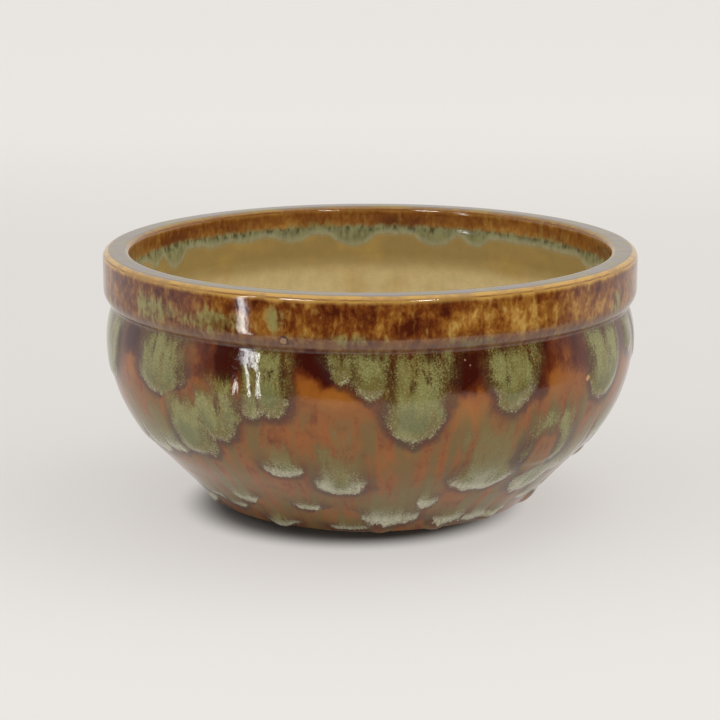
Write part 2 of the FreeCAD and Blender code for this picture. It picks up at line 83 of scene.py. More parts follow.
# Green drops on the lower wall, in the same order
FOOT_RUNS = (
    (-38.5, 38, 18, 10, 0.9, 0), (-18, 34, 18.5, 8, 0.7, 0), (5, 38, 10, 15, 0.6, 0.1),
    (15, 46, 21, 6, 1.2, 0.2), (26, 27, 9, 10, 0.7, 0.1), (35, 27, 7.5, 8, 0.8, 0.1),
    (44, 22, 8, 8, 0.7, 0), (57, 30, 14, 10, 0.8, 0.1), (69, 34, 14, 10, 0.9, 0.1),
    (80, 44, 24, 7, 1.1, 0), (-30, 22, 5.5, 9, 0.7, 0), (-8, 19, 6, 10, 0.6, 0.1),
    (-47, 26, 12, 7, 0.8, 0), (-56, 30, 15, 11, 0.8, 0.1), (-68, 28, 9, 9, 0.8, 0),
    (-83, 36, 20, 9, 0.9, 0), (102, 34, 18, 10, 0.8, 0), (115, 26, 10, 8, 0.7, 0),
    (127, 36, 20, 11, 0.8, 0), (140, 24, 9, 8, 0.7, 0.1), (152, 30, 12, 12, 0.7, 0),
    (165, 24, 8, 8, 0.7, 0.1), (178, 34, 18, 9, 0.8, 0), (190, 22, 7, 8, 0.7, 0),
    (202, 30, 14, 11, 0.8, 0), (214, 22, 8, 8, 0.7, 0.1), (224, 34, 19, 8, 0.8, 0),
    (236, 24, 8, 7, 0.7, 0), (249, 30, 13, 12, 0.7, 0), (262, 36, 21, 7, 0.9, 0),
    (270, 26, 11, 9, 0.8, 0),
)
# Beads at the lower edge of the glaze: turn, height, half width and how proud they stand
BEADS = (
    (-68, 8, 8, 1.8), (-31, 8, 8, 2.0), (3, 8, 8, 2.0), (22, 8, 7, 2.0), (44, 8, 7, 1.6), (70, 9, 8, 1.8),
    (80, 31, 8, 2.2), (96, 8, 6, 1.6), (131, 8, 8, 1.8), (160, 8, 7, 1.6), (187, 8, 7, 1.8),
    (214, 8, 8, 1.8), (243, 8, 6, 1.6), (270, 9, 7, 1.8),
)
# Patches between the runs: turn, height, half width, half height and warmth, which is below 0 for maroon
# and above 0 for orange
WARM_PATCHES = (
    (-60, 98, 9, 8, -0.9), (-31, 97, 8, 12, -1.0), (-26, 100, 6, 7, -1.0), (-11, 100, 10, 8, -1.1),
    (-8.5, 96, 4, 9, -0.8), (19, 95, 9, 13, -1.1), (37, 83, 8, 7, -0.7), (38, 101, 5, 6, -0.5),
    (-37, 92, 10, 9, 0.12), (-13, 92, 8, 9, 0.65), (-6.5, 84, 12, 7, 0.8), (-41, 98, 12, 9, 0.45),
    (43, 95, 12, 12, 0.25), (41, 84, 9, 9, 0.35), (21, 75, 15, 10, 0.7), (-47, 69, 12, 6, 0.4),
    (-60, 85, 7, 7, 0.5), (6, 55, 13, 6, 0.3), (95, 96, 9, 10, -1.0), (94, 86, 7, 6, 0.9),
    (138, 97, 9, 10, 0.6), (139, 86, 8, 8, -0.9), (166, 97, 8, 9, -1.0), (188, 96, 8, 9, 0.7),
    (188, 86, 7, 6, -0.8), (212, 97, 7, 9, -1.0), (234, 95, 9, 10, 0.8), (233, 84, 9, 6, -0.8),
    (257, 96, 7, 10, -1.0),
)
# Orange patches that no run covers: turn, height, half width and half height
BARE_PATCHES = (
    (42.5, 50, 11, 16), (148, 48, 8, 8), (206, 52, 7, 9), (250, 50, 8, 8), (86, 52, 7, 8),
)
# Green patches on the band: turn, height, half width, half height and strength
BAND_PATCHES = (
    (-50, 117, 22, 9, 0.8), (-33, 116, 24, 8, 0.75), (-19, 120, 7, 7, 0.6), (-5, 112, 26, 4, 0.6),
    (-68, 110, 14, 5, 0.5), (20, 109, 18, 3, 0.55), (62, 114, 10, 8, 0.6), (95, 114, 20, 7, 0.6),
    (128, 117, 16, 8, 0.7), (165, 112, 18, 5, 0.6), (196, 118, 20, 8, 0.75), (228, 113, 16, 6, 0.6),
    (262, 117, 20, 8, 0.7),
)
# Lighter and darker clouds on the band: turn, height, half width, half height and tone
BAND_CLOUDS = (
    (30, 121, 34, 11, 0.09), (50, 118, 20, 9, 0.05), (-3, 123, 12, 7, -0.10), (9, 117, 14, 6, -0.12),
    (-46, 121, 34, 10, -0.06), (-62, 122, 9, 8, -0.05), (-10, 118, 8, 8, -0.06), (70, 120, 16, 10, 0.04),
    (100, 122, 26, 8, -0.08), (140, 120, 30, 10, 0.08), (172, 121, 18, 8, -0.10),
    (205, 119, 26, 10, 0.06), (240, 121, 22, 8, -0.10),
)
# Dark streaks down the runs: turn, height of the top, height of the bottom, half width
DARK_STREAKS = (
    (5, 106, 84, 1.6), (-0.5, 106, 97, 2.6), (8.5, 95, 84, 1.4), (12, 106, 99, 2.0), (28.5, 94, 86, 1.8),
    (24, 106, 99, 2.4), (60, 96, 84, 2.2), (-18, 106, 88, 1.3), (-51, 104, 90, 1.6), (-75, 104, 84, 1.8),
    (150, 105, 82, 1.8), (104, 105, 86, 1.6), (176, 96, 86, 1.8), (200, 105, 90, 1.6), (222, 98, 88, 1.8),
    (247, 105, 84, 1.8),
)
# Scallops of the green fringe inside the lip: turn, height of the tip and half width
FRINGE_TIPS = (
    (201, 113.2, 11), (184.5, 109.5, 13), (162.8, 110.5, 12), (151.2, 111.5, 8), (137.8, 116, 14),
    (123.2, 115.5, 12), (108.5, 112.5, 13), (95.5, 117, 11), (214.5, 115, 10), (224, 115, 10),
    (239.2, 108.3, 10), (248.8, 112, 8), (262.5, 117, 12), (278, 112, 10), (294, 114.5, 13),
    (311, 110.5, 11), (328, 115, 12), (345, 112, 10), (2, 114, 13), (18, 110, 10), (34, 115, 13),
    (50, 111.5, 11), (66, 114, 12), (81, 110.5, 10),
)
# Small faults in the glaze: turn, height, radius and colour. A dark ring lies round a pale crater.
FAULTS = (
    (-17.0, 110.5, 2.9, "dark"), (-17.2, 110.3, 1.9, "pale"), (51.3, 82.5, 1.6, "orange"),
    (19.3, 100.5, 0.6, "pale"), (20.3, 98.0, 0.5, "pale"), (133.0, 99.0, 1.4, "pale"),
    (238.0, 79.0, 1.5, "orange"),
)
FAULT_COLOURS = {"dark": (0.045, 0.022, 0.015), "pale": (0.36, 0.20, 0.11), "orange": (0.62, 0.33, 0.10)}
# Layers of runs: the axis of the attributes that keep them, the runs, how ripe they start, and how frosted
# they are
RUN_LAYERS = (("X", SHOULDER_RUNS, 0.42, 0.1), ("Y", BELLY_RUNS, 0.05, 0.85), ("Z", FOOT_RUNS, 0.05, 1.0))
# Noises: share of their height that is left when they are drawn out into streaks, or 0 when they aren't,
# then scale per metre, detail, roughness and distortion
NOISES = {
    "streaks": (0.24, 240.0, 3.0, 0.58, 0.0),
    "clouds": (0.36, 120.0, 3.0, 0.55, 0.0),
    "crystals": (0.6, 520.0, 3.0, 0.7, 0.6),
    "band_flecks": (0.6, 340.0, 3.0, 0.6, 0.4),
    "fringe_streaks": (0.5, 240.0, 3.0, 0.55, 0.0),
    "fringe_spots": (0.5, 300.0, 2.0, 0.5, 0.0),
    "mottle": (0, 95.0, 4.0, 0.6, 0.0),
    "grain": (0, 1200.0, 2.0, 0.6, 0.0),
    "peel": (0, 900.0, 2.0, 0.55, 0.0),
    "waves": (0, 75.0, 1.0, 0.5, 0.0),
    "liner_blotches": (0, 38.0, 2.0, 0.5, 0.0),
    "liner_clouds": (0, 160.0, 4.0, 0.6, 0.0),
    "liner_grain": (0, 800.0, 2.0, 0.6, 0.0),
    "toasting": (0, 60.0, 3.0, 0.6, 0.0),
    "grit": (0, 1500.0, 2.0, 0.6, 0.0),
}
# Radius at which the streaks are laid round the pot, whatever the radius of the glaze, in metres
FLOW_RADIUS = 0.13
# Iron specks per metre of bare clay, and its turning rings in radians per metre
SPECK_SCALE, RING_SCALE = 420.0, 2600.0
# Steps round the pot of the outer glaze and of the liner, and steps in the height of a relief
OUTER_STEPS, LINER_STEPS, RELIEF_LEVELS = 560, 384, 200
# Edges that turn by more than this stay sharp, and vertices closer than this are joined
SMOOTH_ANGLE, JOIN_WITHIN = math.radians(40), 0.01 * MM
# Furthest distance from an edge of green glaze that is kept, in millimetres
FAR = 40.0
# Share of its full relief that a run has where it is thin, and how much shorter than wide a bead is
THIN_RELIEF, BEAD_SQUASH = 0.12, 1.4
# Heights over the belly's widest ring between which the relief of the runs fades in
RELIEF_STARTS = (17 * MM, 11 * MM)
# Warmth of the belly's glaze, and how much less of it the shoulder has
BELLY_WARMTH, SHOULDER_LOSS = 0.12, 0.62
# Height where the fringe follows the brown lip, and its lower edge between the scallops in millimetres
FRINGE_TOP, FRINGE_LEVEL = AMBER_HIGH.z - 10.2 * MM, 116.4
# Heights between which the liner starts to have a fringe, turns pale below it as painted light, and darkens
# to the floor
FRINGE_STARTS, LINER_PAINTED_LIGHT, LINER_DARKENS = (96 * MM, 100 * MM), (106.5 * MM, 93 * MM), (84 * MM, 60 * MM)

# Distances behind the pot's axis, in metres, between which the floor darkens in a band of painted shade and
# clears, and how dark that painted shade is
PAINTED_DIP_STARTS, PAINTED_DIP_ENDS, PAINTED_DIP_SHADE = (-0.3, 0.1), (1.6, 0.6), 0.89
# Middle of the shadow that the floor's painted glow leaves under the pot, and how far that painted shadow
# takes to clear
PAINTED_SHADOW_MIDDLE, PAINTED_SHADOW_BLUR = (-9 * MM, -7 * MM, 0), 26 * MM
# The dark room in the reflections: colour, how far it is turned aside, its sides and its ceiling
ROOM_COLOUR, ROOM_ASIDE, ROOM_SIDES, ROOM_CEILING = (0.012, 0.011, 0.012), 0.14, (-0.08, 0.34), (0.86, 0.70)
# Share of the backdrop's light that is reflected past that room
BACKDROP_SHARE = 0.95
# Place and size of the main lamp, and the height that every lamp faces, in metres
KEY_PLACE, KEY_SIZE, LAMP_AIM = (0.75, 0.35, 1.75), (1.1, 1.1), 0.07
# Lamps that only show as reflections: name, place and size in metres, and power in watts
STRIPS = (
    ("strip_left", (-0.70, -0.57, 0.24), (0.03, 1.05), 2.6),
    ("high_left", (-0.62, -0.95, 0.95), (0.30, 0.10), 4.0),
    ("high_right", (0.45, -1.0, 0.95), (0.16, 0.10), 2.4),
)
# Width of the camera's sensor in millimetres
CAMERA_SENSOR = 36.0


def length(name, millimetres, description):
    """A size that a user may change, given here in millimetres and kept in metres."""
    return bpy.props.FloatProperty(
        name=name, description=description, default=millimetres * MM, precision=4, unit="LENGTH")


def tint(name, colour, description):
    """A linear colour that a user may change."""
    return bpy.props.FloatVectorProperty(
        name=name, description=description, default=colour, min=0.0, max=1.0, size=3, subtype="COLOR")


class CachepotSizes(bpy.types.PropertyGroup):
    """Sizes of the clay's section and of the glazes on it."""

    rim_radius: length("Rim radius", AMBER_HIGH.x / MM - 1.0, "Outside of the band, bare clay")
    clay_height: length("Clay height", AMBER_HIGH.z / MM - 1.0, "Table to the rim's top, bare clay")
    rim_round: length("Rim round", 2.5, "Outer top edge of the rim")
    rim_width: length("Rim width", 11.7, "Outside of the band to the inside of the lip")
    lip_round: length("Lip round", 2.0, "Inner top edge of the rim")
    lip_blend: length("Lip blend", 12.0, "Where the lip's inside eases out into the belly")
    band_drop: length("Band drop", 15.0, "Rim's top down to where the band turns under")
    band_round: length("Band round", 9.0, "The band's turned-under edge")
    crease_round: length("Crease round", 3.5, "Hollow of the crease under the band")
    belly_inset: length("Belly inset", 1.4, "Outside of the band in to the belly at its widest")
    belly_drop: length("Belly drop", 42.5, "Rim's top down to the belly's widest ring")
    shoulder_arc: length("Shoulder arc", 42.0, "Profile radius of the belly above that ring")
    belly_arc: length("Belly arc", 72.95, "Profile radius of the belly below that ring")
    wall: length("Wall", 7.5, "Thickness of the belly's clay")
    floor_height: length("Floor height", 12.0, "Table to the inside floor")
    floor_round: length("Floor round", 18.0, "Inside corner between the wall and the floor")
    amber_coat: length("Amber coat", 1.0, "Thickness of the outer glaze")
    liner_coat: length("Liner coat", 1.0, "Thickness of the inner glaze")
    seam_drop: length("Seam drop", 10.5, "Rim's top down to where the two glazes meet")
    pool: length("Pool", 2.6, "How far the glaze under the band brings the crease down")
    glaze_line: length("Glaze line", 6.0, "Table to the lower edge of the outer glaze")
    run_relief: length("Run relief", 1.0, "How far the tip of a run stands off the coat")
    fringe_relief: length("Fringe relief", 0.4, "How far the fringe stands off the liner")
    taper: bpy.props.FloatProperty(
        name="Taper", description="Lean of the lower wall from upright",
        default=math.radians(44.98), subtype="ANGLE")


class CachepotColours(bpy.types.PropertyGroup):
    """Colours of the glazes and the clay."""

    maroon: tint("Maroon", (0.052, 0.0065, 0.003), "Thick dark glaze in the crease")
    red_brown: tint("Red brown", (0.130, 0.026, 0.006), "Glaze between maroon and orange")
    orange_brown: tint("Orange brown", (0.295, 0.090, 0.014), "The usual colour of the belly")
    orange: tint("Orange", (0.370, 0.130, 0.020), "Bright patches between the runs")
    khaki_veil: tint("Khaki veil", (0.165, 0.112, 0.030), "Thin green streaks over the orange")
    green: tint("Green", (0.270, 0.256, 0.090), "Clean green of the runs")
    olive: tint("Olive", (0.190, 0.148, 0.042), "Browner green of the runs")
    deep_green: tint("Deep green", (0.085, 0.100, 0.030), "Thick lower part of the runs")
    streak: tint("Streak", (0.050, 0.024, 0.006), "Dark streaks down the runs")
    pale: tint("Pale", (0.600, 0.580, 0.430), "Crystals in the tips")
    halo: tint("Halo", (0.052, 0.017, 0.016), "Dark edge that follows the tips")
    band_dark: tint("Band dark", (0.070, 0.012, 0.004), "Dark clouds on the band")
    band_brown: tint("Band brown", (0.165, 0.042, 0.007), "The usual colour of the band")
    band_amber: tint("Band amber", (0.300, 0.118, 0.018), "Lighter clouds on the band")
    band_gold: tint("Band gold", (0.600, 0.345, 0.085), "Flecks, and where the glaze breaks on edges")
    band_green: tint("Band green", (0.180, 0.155, 0.048), "Green patches on the band")
    # Painted reflection: a greyer, milkier tint for the floor's reflection on the band's turned-under edge
    turned_edge_reflection: tint("Turned edge", (0.125, 0.078, 0.054), "Thin milky glaze where the band turns under")
    # The rim top's own glaze colour, greyed and lightened as a painted reflection of the backdrop
    rim_top_and_sheen: tint("Rim top", (0.170, 0.125, 0.098), "Flat top of the rim")
    khaki: tint("Khaki", (0.400, 0.280, 0.096), "Liner glaze under the lip")
    khaki_painted_light: tint("Pale khaki", (0.870, 0.730, 0.410), "Liner glaze on the wall")
    # Painted light: the liner's khaki lightened down the wall, where the inside of the bowl is lit
    khaki_floor: tint("Floor khaki", (0.660, 0.530, 0.255), "Liner glaze on the floor")
    blotch: tint("Blotch", (0.620, 0.410, 0.100), "Yellow blotches in the liner")
    fringe: tint("Fringe", (0.300, 0.300, 0.150), "Green fringe under the lip")
    fringe_dark: tint("Dark fringe", (0.060, 0.060, 0.024), "Dark marks in the fringe")
    clay: tint("Clay", (0.560, 0.440, 0.320), "Bare stoneware under the foot")
    clay_dark: tint("Dark clay", (0.380, 0.270, 0.180), "Toasted stoneware and iron specks")


class CachepotStage(bpy.types.PropertyGroup):
    """Camera, floor and light."""

    camera_back: length("Camera back", 1215, "How far in front of the pot's axis the camera stands")
    camera_up: length("Camera height", 348.9, "Height of the camera over the floor")
    camera_pitch: bpy.props.FloatProperty(
        name="Camera pitch", description="How far the camera looks down",
        default=math.radians(12.83), subtype="ANGLE")
    lens: bpy.props.FloatProperty(name="Lens", description="Focal length in millimetres", default=121.6)
    shift: bpy.props.FloatProperty(name="Shift", description="Sideways shift of the frame", default=-0.0142)
    floor_front: length("Floor front", 332, "How far in front of the axis the pale floor ends")
    floor_back: length("Floor back", 4200, "How far behind the axis the pale floor ends")
    floor_side: length("Floor side", 2600, "Half width of the pale floor at its back edge")
    floor_mouth: length("Floor mouth", 215, "Half width of the pale floor at its front edge")
    floor_colour: tint("Floor colour", (0.82, 0.79, 0.757), "Pale floor")
    backdrop_colour: tint("Backdrop colour", (0.815, 0.795, 0.770), "What the camera sees past the floor")
    # The floor glows on its own except near the pot, which paints the shadow under it; this is the radius
    # where that painted shadow starts to clear
    painted_shadow_reach: length("Foot reach", 66, "Radius at which the shadow under the pot starts to clear")
    # Share of the floor's brightness that is its own glow, a painted light that leaves a painted shadow under
    # the pot
    floor_painted_glow: bpy.props.FloatProperty(
        name="Glow", description="Share of the floor's light that the pot doesn't shade", default=0.66)
    fill: bpy.props.FloatProperty(name="Fill", description="Strength of the even light", default=0.92)
    key: bpy.props.FloatProperty(name="Key", description="Power of the main lamp in watts", default=7.0)


class Section:
    """The section of the pot: centres of its arcs, as a radius and a height in metres.

    Pool is how far the glaze that gathers under the band brings the band's turned edge down.
    """

    def __init__(self, sizes, pool=0.0):
        s = sizes
        self.s = s
        self.lip_radius = s.rim_radius - s.rim_width
        self.seam = s.clay_height - s.seam_drop
        self.lip = (self.lip_radius + s.lip_round, s.clay_height - s.lip_round)
        self.rim = (s.rim_radius - s.rim_round, s.clay_height - s.rim_round)
        self.band = (s.rim_radius - s.band_round, s.clay_height - s.band_drop - pool)
        self.ring = s.clay_height - s.belly_drop
        widest = s.rim_radius - s.belly_inset
        self.shoulder = (widest - s.shoulder_arc, self.ring)
        self.belly = (widest - s.belly_arc, self.ring)
        self.crease = self.crease_centre()
        self.band_angle = self.bearing(self.band, self.crease)
        self.shoulder_angle = self.bearing(self.shoulder, self.crease)
        blend_reach = s.shoulder_arc - s.wall + s.lip_blend
        blend_across = self.lip_radius + s.lip_blend
        blend_up = math.sqrt(blend_reach ** 2 - (blend_across - self.shoulder[0]) ** 2)
        self.blend = (blend_across, self.ring + blend_up)
        self.blend_angle = self.bearing(self.shoulder, self.blend)
        floor_up = s.floor_height + s.floor_round
        reach = s.belly_arc - s.wall - s.floor_round
        across = (reach + (floor_up - self.ring) * math.sin(s.taper)) / math.cos(s.taper)
        self.floor = (self.belly[0] + across, floor_up)

    @staticmethod
    def bearing(start, end):
        """The angle in radians from one point to another."""
        return math.atan2(end[1] - start[1], end[0] - start[0])

    def crease_centre(self):
        """The crease's arc touches the band's turned edge above it and the shoulder below it."""
        reach_band = self.s.band_round + self.s.crease_round
        reach_shoulder = self.s.shoulder_arc + self.s.crease_round
        across, up = self.band[0] - self.shoulder[0], self.band[1] - self.shoulder[1]
        apart = math.hypot(across, up)
        along = (reach_shoulder ** 2 - reach_band ** 2 + apart ** 2) / (2 * apart)
        aside = math.sqrt(reach_shoulder ** 2 - along ** 2)
        return (self.shoulder[0] + (along * across + aside * up) / apart,
                self.shoulder[1] + (along * up - aside * across) / apart)

    def taper_point(self, offset, height):
        """A point of the leaning wall at a height, with an offset out from the clay's outer face."""
        radius = self.s.belly_arc + offset
        top = (self.belly[0] + radius * math.cos(self.s.taper),
               self.ring - radius * math.sin(self.s.taper))
        return (top[0] - (top[1] - height) * math.tan(self.s.taper), height)

    def depth(self, height):
        """Distance down the glazed outer wall from the belly's widest ring, for heights in metres."""
        shoulder = self.s.shoulder_arc + self.s.amber_coat
        belly = self.s.belly_arc + self.s.amber_coat
        above = np.clip((height - self.ring) / shoulder, 0, 1)
        below = np.clip((self.ring - height) / belly, 0, math.sin(self.s.taper))
        straight = np.clip(self.ring - belly * math.sin(self.s.taper) - height, 0, None)
        return belly * np.arcsin(below) + straight / math.cos(self.s.taper) - shoulder * np.arcsin(above)


class Outline:
    """Draws a section by pushing one vertex along straight and round stretches, then turns it."""

    def __init__(self, name, start):
        bpy.ops.object.select_all(action="DESELECT")
        bpy.ops.mesh.primitive_plane_add(size=MM, location=(start[0], 0, start[1]))
        self.piece = bpy.context.object
        self.piece.name = self.piece.data.name = name
        bpy.ops.object.transform_apply(location=True, rotation=True, scale=True)
        bpy.ops.object.mode_set(mode="EDIT")
        bpy.ops.mesh.select_mode(type="VERT")
        bpy.ops.mesh.select_all(action="SELECT")
        bpy.ops.mesh.merge(type="CENTER")
        self.at = start

    def line(self, end, steps=1):
        """A straight stretch to a point, in equal steps."""
        move = ((end[0] - self.at[0]) / steps, 0, (end[1] - self.at[1]) / steps)
        for _ in range(steps):
            bpy.ops.mesh.extrude_region_move(TRANSFORM_OT_translate={"value": move})
        self.at = end

    def arc(self, centre, sweep, steps):
        """A round stretch about a centre, through an angle that is positive from the radius to the height."""
        bpy.ops.mesh.spin(steps=steps, angle=sweep, center=(centre[0], 0, centre[1]), axis=(0, 1, 0))
        across, up = self.at[0] - centre[0], self.at[1] - centre[1]
        turned = (across * math.cos(sweep) - up * math.sin(sweep),
                  across * math.sin(sweep) + up * math.cos(sweep))
        self.at = (centre[0] + turned[0], centre[1] + turned[1])

    def turn(self, steps):
        """Turns the section about the pot's axis into a closed shell that faces outwards."""
        bpy.ops.mesh.select_all(action="SELECT")
        bpy.ops.mesh.remove_doubles(threshold=JOIN_WITHIN)
        bpy.ops.mesh.spin(steps=steps, angle=2 * math.pi, center=(0, 0, 0), axis=(0, 0, 1))
        bpy.ops.mesh.select_all(action="SELECT")
        bpy.ops.mesh.remove_doubles(threshold=JOIN_WITHIN)
        bpy.ops.mesh.normals_make_consistent(inside=False)
        bpy.ops.object.mode_set(mode="OBJECT")
        bpy.ops.object.shade_smooth_by_angle(angle=SMOOTH_ANGLE)
        return self.piece


class Skin:
    """Where a turned piece's vertices lie: turn in degrees, and radius, height and facing."""

    def __init__(self, piece):
        mesh = piece.data
        count = len(mesh.vertices)
        spots, normals = np.empty(count * 3), np.empty(count * 3)
        mesh.vertices.foreach_get("co", spots)
        mesh.vertices.foreach_get("normal", normals)
        x, y, self.height = spots.reshape(-1, 3).T
        self.radius = np.hypot(x, y)
        self.turn = np.degrees(np.arctan2(x, -y))
        out_x, out_y, _ = normals.reshape(-1, 3).T
        self.outward = (out_x * x + out_y * y) / np.maximum(self.radius, MM)

    def across(self, turn):
        """Distance round the pot from a turn, in millimetres."""
        return self.radius / MM * np.radians((self.turn - turn + 180) % 360 - 180)


def smooth(low, high, values):
    """An S-shaped step from 0 at low to 1 at high."""
    t = np.clip((values - low) / (high - low), 0, 1)
    return t * t * (3 - 2 * t)


def tongues(skin, section, runs, first):
    """Millimetres inside the nearest run's edge, below 0 outside, and its ripeness, from first to 1."""
    depth = section.depth(skin.height) / MM
    edge, ripe = np.full(depth.size, -FAR), np.zeros(depth.size)
    for turn, start, tip, half_width, point, flare in runs:
        tip_depth = section.depth(tip * MM) / MM
        run_length = tip_depth - section.depth(start * MM) / MM
        above = tip_depth - depth
        share = np.clip(above / run_length, 0, 1)
        width = half_width * (1 + flare * share)
        tip_length = min(point * half_width, run_length)
        below = np.clip((tip_length - above) / tip_length, 0, None)
        inside = (1 - np.hypot(skin.across(turn) / width, below)) * np.minimum(width, tip_length)
        inside = np.minimum(inside, run_length - above)
        nearer = inside > edge
        edge = np.where(nearer, inside, edge)
        ripe = np.where(nearer, 1 - (1 - first) * share, ripe)
    return np.clip(edge, -FAR, FAR), ripe


def patch(skin, turn, height, half_width, half_height):
    """A soft oval, 1 in its middle and 0 at its edge."""
    away = np.hypot(skin.across(turn) / half_width, (skin.height / MM - height) / half_height)
    return 1 - smooth(0.25, 1.2, away)


def store(piece, name, kind, values):
    """Keeps values on the vertices of a piece, where its material reads them."""
    attribute = piece.data.attributes.new(name, kind, "POINT")
    key = "vector" if kind == "FLOAT_VECTOR" else "value"
    attribute.data.foreach_set(key, np.ascontiguousarray(values, dtype=np.float32).ravel())


def raise_relief(piece, weights, height):
    """Pushes a piece's skin out along its normals by a weight on each vertex."""
    group = piece.vertex_groups.new(name="relief")
    levels = np.round(np.clip(weights, 0, 1) * RELIEF_LEVELS).astype(int)
    for level in np.unique(levels[levels > 0]):
        group.add(np.flatnonzero(levels == level).tolist(), level / RELIEF_LEVELS, "REPLACE")
    displace = piece.modifiers.new("relief", "DISPLACE")
    displace.vertex_group = group.name
    displace.strength = height
    displace.mid_level = 0.0
    bpy.ops.object.modifier_apply(modifier=displace.name)
    bpy.ops.object.vertex_group_remove(all=True)


class Wiring:
    """Adds and joins nodes in a shader tree."""

    def __init__(self, tree):
        self.tree = tree

    def add(self, kind, sockets=None, **settings):
        """Adds a node, with its settings and with its sockets linked or set."""
        node = self.tree.nodes.new(kind)
        for name, setting in settings.items():
            setattr(node, name, setting)
        for key, feed in (sockets or {}).items():
            self.feed(node.inputs[key], feed)
        return node

    def feed(self, socket, source):
        """Links a socket to another one, or sets its value."""
        if isinstance(source, bpy.types.NodeSocket):
            self.tree.links.new(source, socket)
        elif socket.type == "RGBA":
            socket.default_value = (*source, 1.0)
        else:
            socket.default_value = source

    def sum(self, operation, one, other=0.0):
        """One step of arithmetic."""
        return self.add("ShaderNodeMath", {0: one, 1: other}, operation=operation).outputs[0]

    def total(self, start, *terms):
        """A start, plus each value times its weight."""
        for source, weight in terms:
            sockets = {0: source, 1: weight, 2: start}
            start = self.add("ShaderNodeMath", sockets, operation="MULTIPLY_ADD").outputs[0]
        return start

    def times(self, first, *others):
        """The product of several values."""
        for other in others:
            first = self.sum("MULTIPLY", first, other)
        return first

    def swing(self, noise):
        """Noise about 0 in place of 0.5."""
        return self.sum("SUBTRACT", noise, 0.5)

    def fade(self, source, start, end, low=0.0, high=1.0):
        """A smooth step from low at start to high at end."""
        sockets = {"Value": source, "From Min": start, "From Max": end, "To Min": low, "To Max": high}
        return self.add("ShaderNodeMapRange", sockets, interpolation_type="SMOOTHSTEP").outputs["Result"]

    def mix(self, factor, one, other, blend="MIX"):
        """A mixture of two colours."""
        node = self.add("ShaderNodeMix", data_type="RGBA", blend_type=blend)
        for index, source in ((0, factor), (6, one), (7, other)):
            self.feed(node.inputs[index], source)
        return node.outputs[2]

    def ramp(self, factor, *stops):
        """A colour ramp with stops of a place and a colour."""
        node = self.add("ShaderNodeValToRGB", {"Fac": factor})
        elements = node.color_ramp.elements
        while len(elements) < len(stops):
            elements.new(1.0)
        for element, (place, colour) in zip(elements, stops):
            element.position = place
            element.color = (*colour, 1.0)
        return node.outputs["Color"]

    def vector(self, operation, sockets):
        """One step of arithmetic with vectors."""
        return self.add("ShaderNodeVectorMath", sockets, operation=operation).outputs

    def split(self, vector):
        """The three parts of a vector."""
        return self.add("ShaderNodeSeparateXYZ", {"Vector": vector}).outputs

    def level(self, spot):
        """A vector that keeps its parts across, and loses its height."""
        return self.add("ShaderNodeCombineXYZ", {"X": spot["X"], "Y": spot["Y"]}).outputs[0]

    def from_axis(self, spot):
        """Distance from the pot's axis."""
        return self.vector("LENGTH", {0: self.level(spot)})["Value"]

    def noise(self, position, name):
        """One of the named noises, between 0 and 1."""
        stretch, scale, detail, roughness, distortion = NOISES[name]
        if stretch:
            position = self.group("flow", Position=position, Stretch=stretch)[0]
        sockets = {"Vector": position, "Scale": scale, "Detail": detail, "Roughness": roughness,
                   "Distortion": distortion}
        return self.add("ShaderNodeTexNoise", sockets).outputs["Fac"]

    def group(self, name, **sockets):
        """Places a node group with its sockets fed, and gives its outputs."""
        node = self.add("ShaderNodeGroup", node_tree=bpy.data.node_groups[name])
        for socket, source in sockets.items():
            self.feed(node.inputs[socket], source)
        return node.outputs

    def attribute(self, name):
        """Three values kept on the piece's vertices."""
        return self.split(self.add("ShaderNodeAttribute", attribute_name=name).outputs["Vector"])


def scaled(colour, factor):
    """A colour so many times as bright."""
    return tuple(part * factor for part in colour)


def new_group(name, inputs, outputs):
    """A shader node group with named sockets; gives its wiring and its two ends."""
    tree = bpy.data.node_groups.new(name, "ShaderNodeTree")
    for end, sockets in (("INPUT", inputs), ("OUTPUT", outputs)):
        for socket, kind in sockets.items():
            tree.interface.new_socket(socket, in_out=end, socket_type=f"NodeSocket{kind}")
    wire = Wiring(tree)
    return wire, wire.add("NodeGroupInput").outputs, wire.add("NodeGroupOutput").inputs


def flow_group():
    """Coordinates that run straight down the pot, so that noise on them makes streaks."""
    wire, given, wanted = new_group("flow", {"Position": "Vector", "Stretch": "Float"}, {"Flow": "Vector"})
    spot = wire.split(given["Position"])
    outward = wire.vector("NORMALIZE", {0: wire.level(spot)})[0]
    ring = wire.vector("SCALE", {0: outward, "Scale": FLOW_RADIUS})[0]
    down = wire.times(spot["Z"], given["Stretch"])
    fall = wire.add("ShaderNodeCombineXYZ", {"Z": down}).outputs[0]
    wire.feed(wanted["Flow"], wire.vector("ADD", {0: ring, 1: fall})[0])


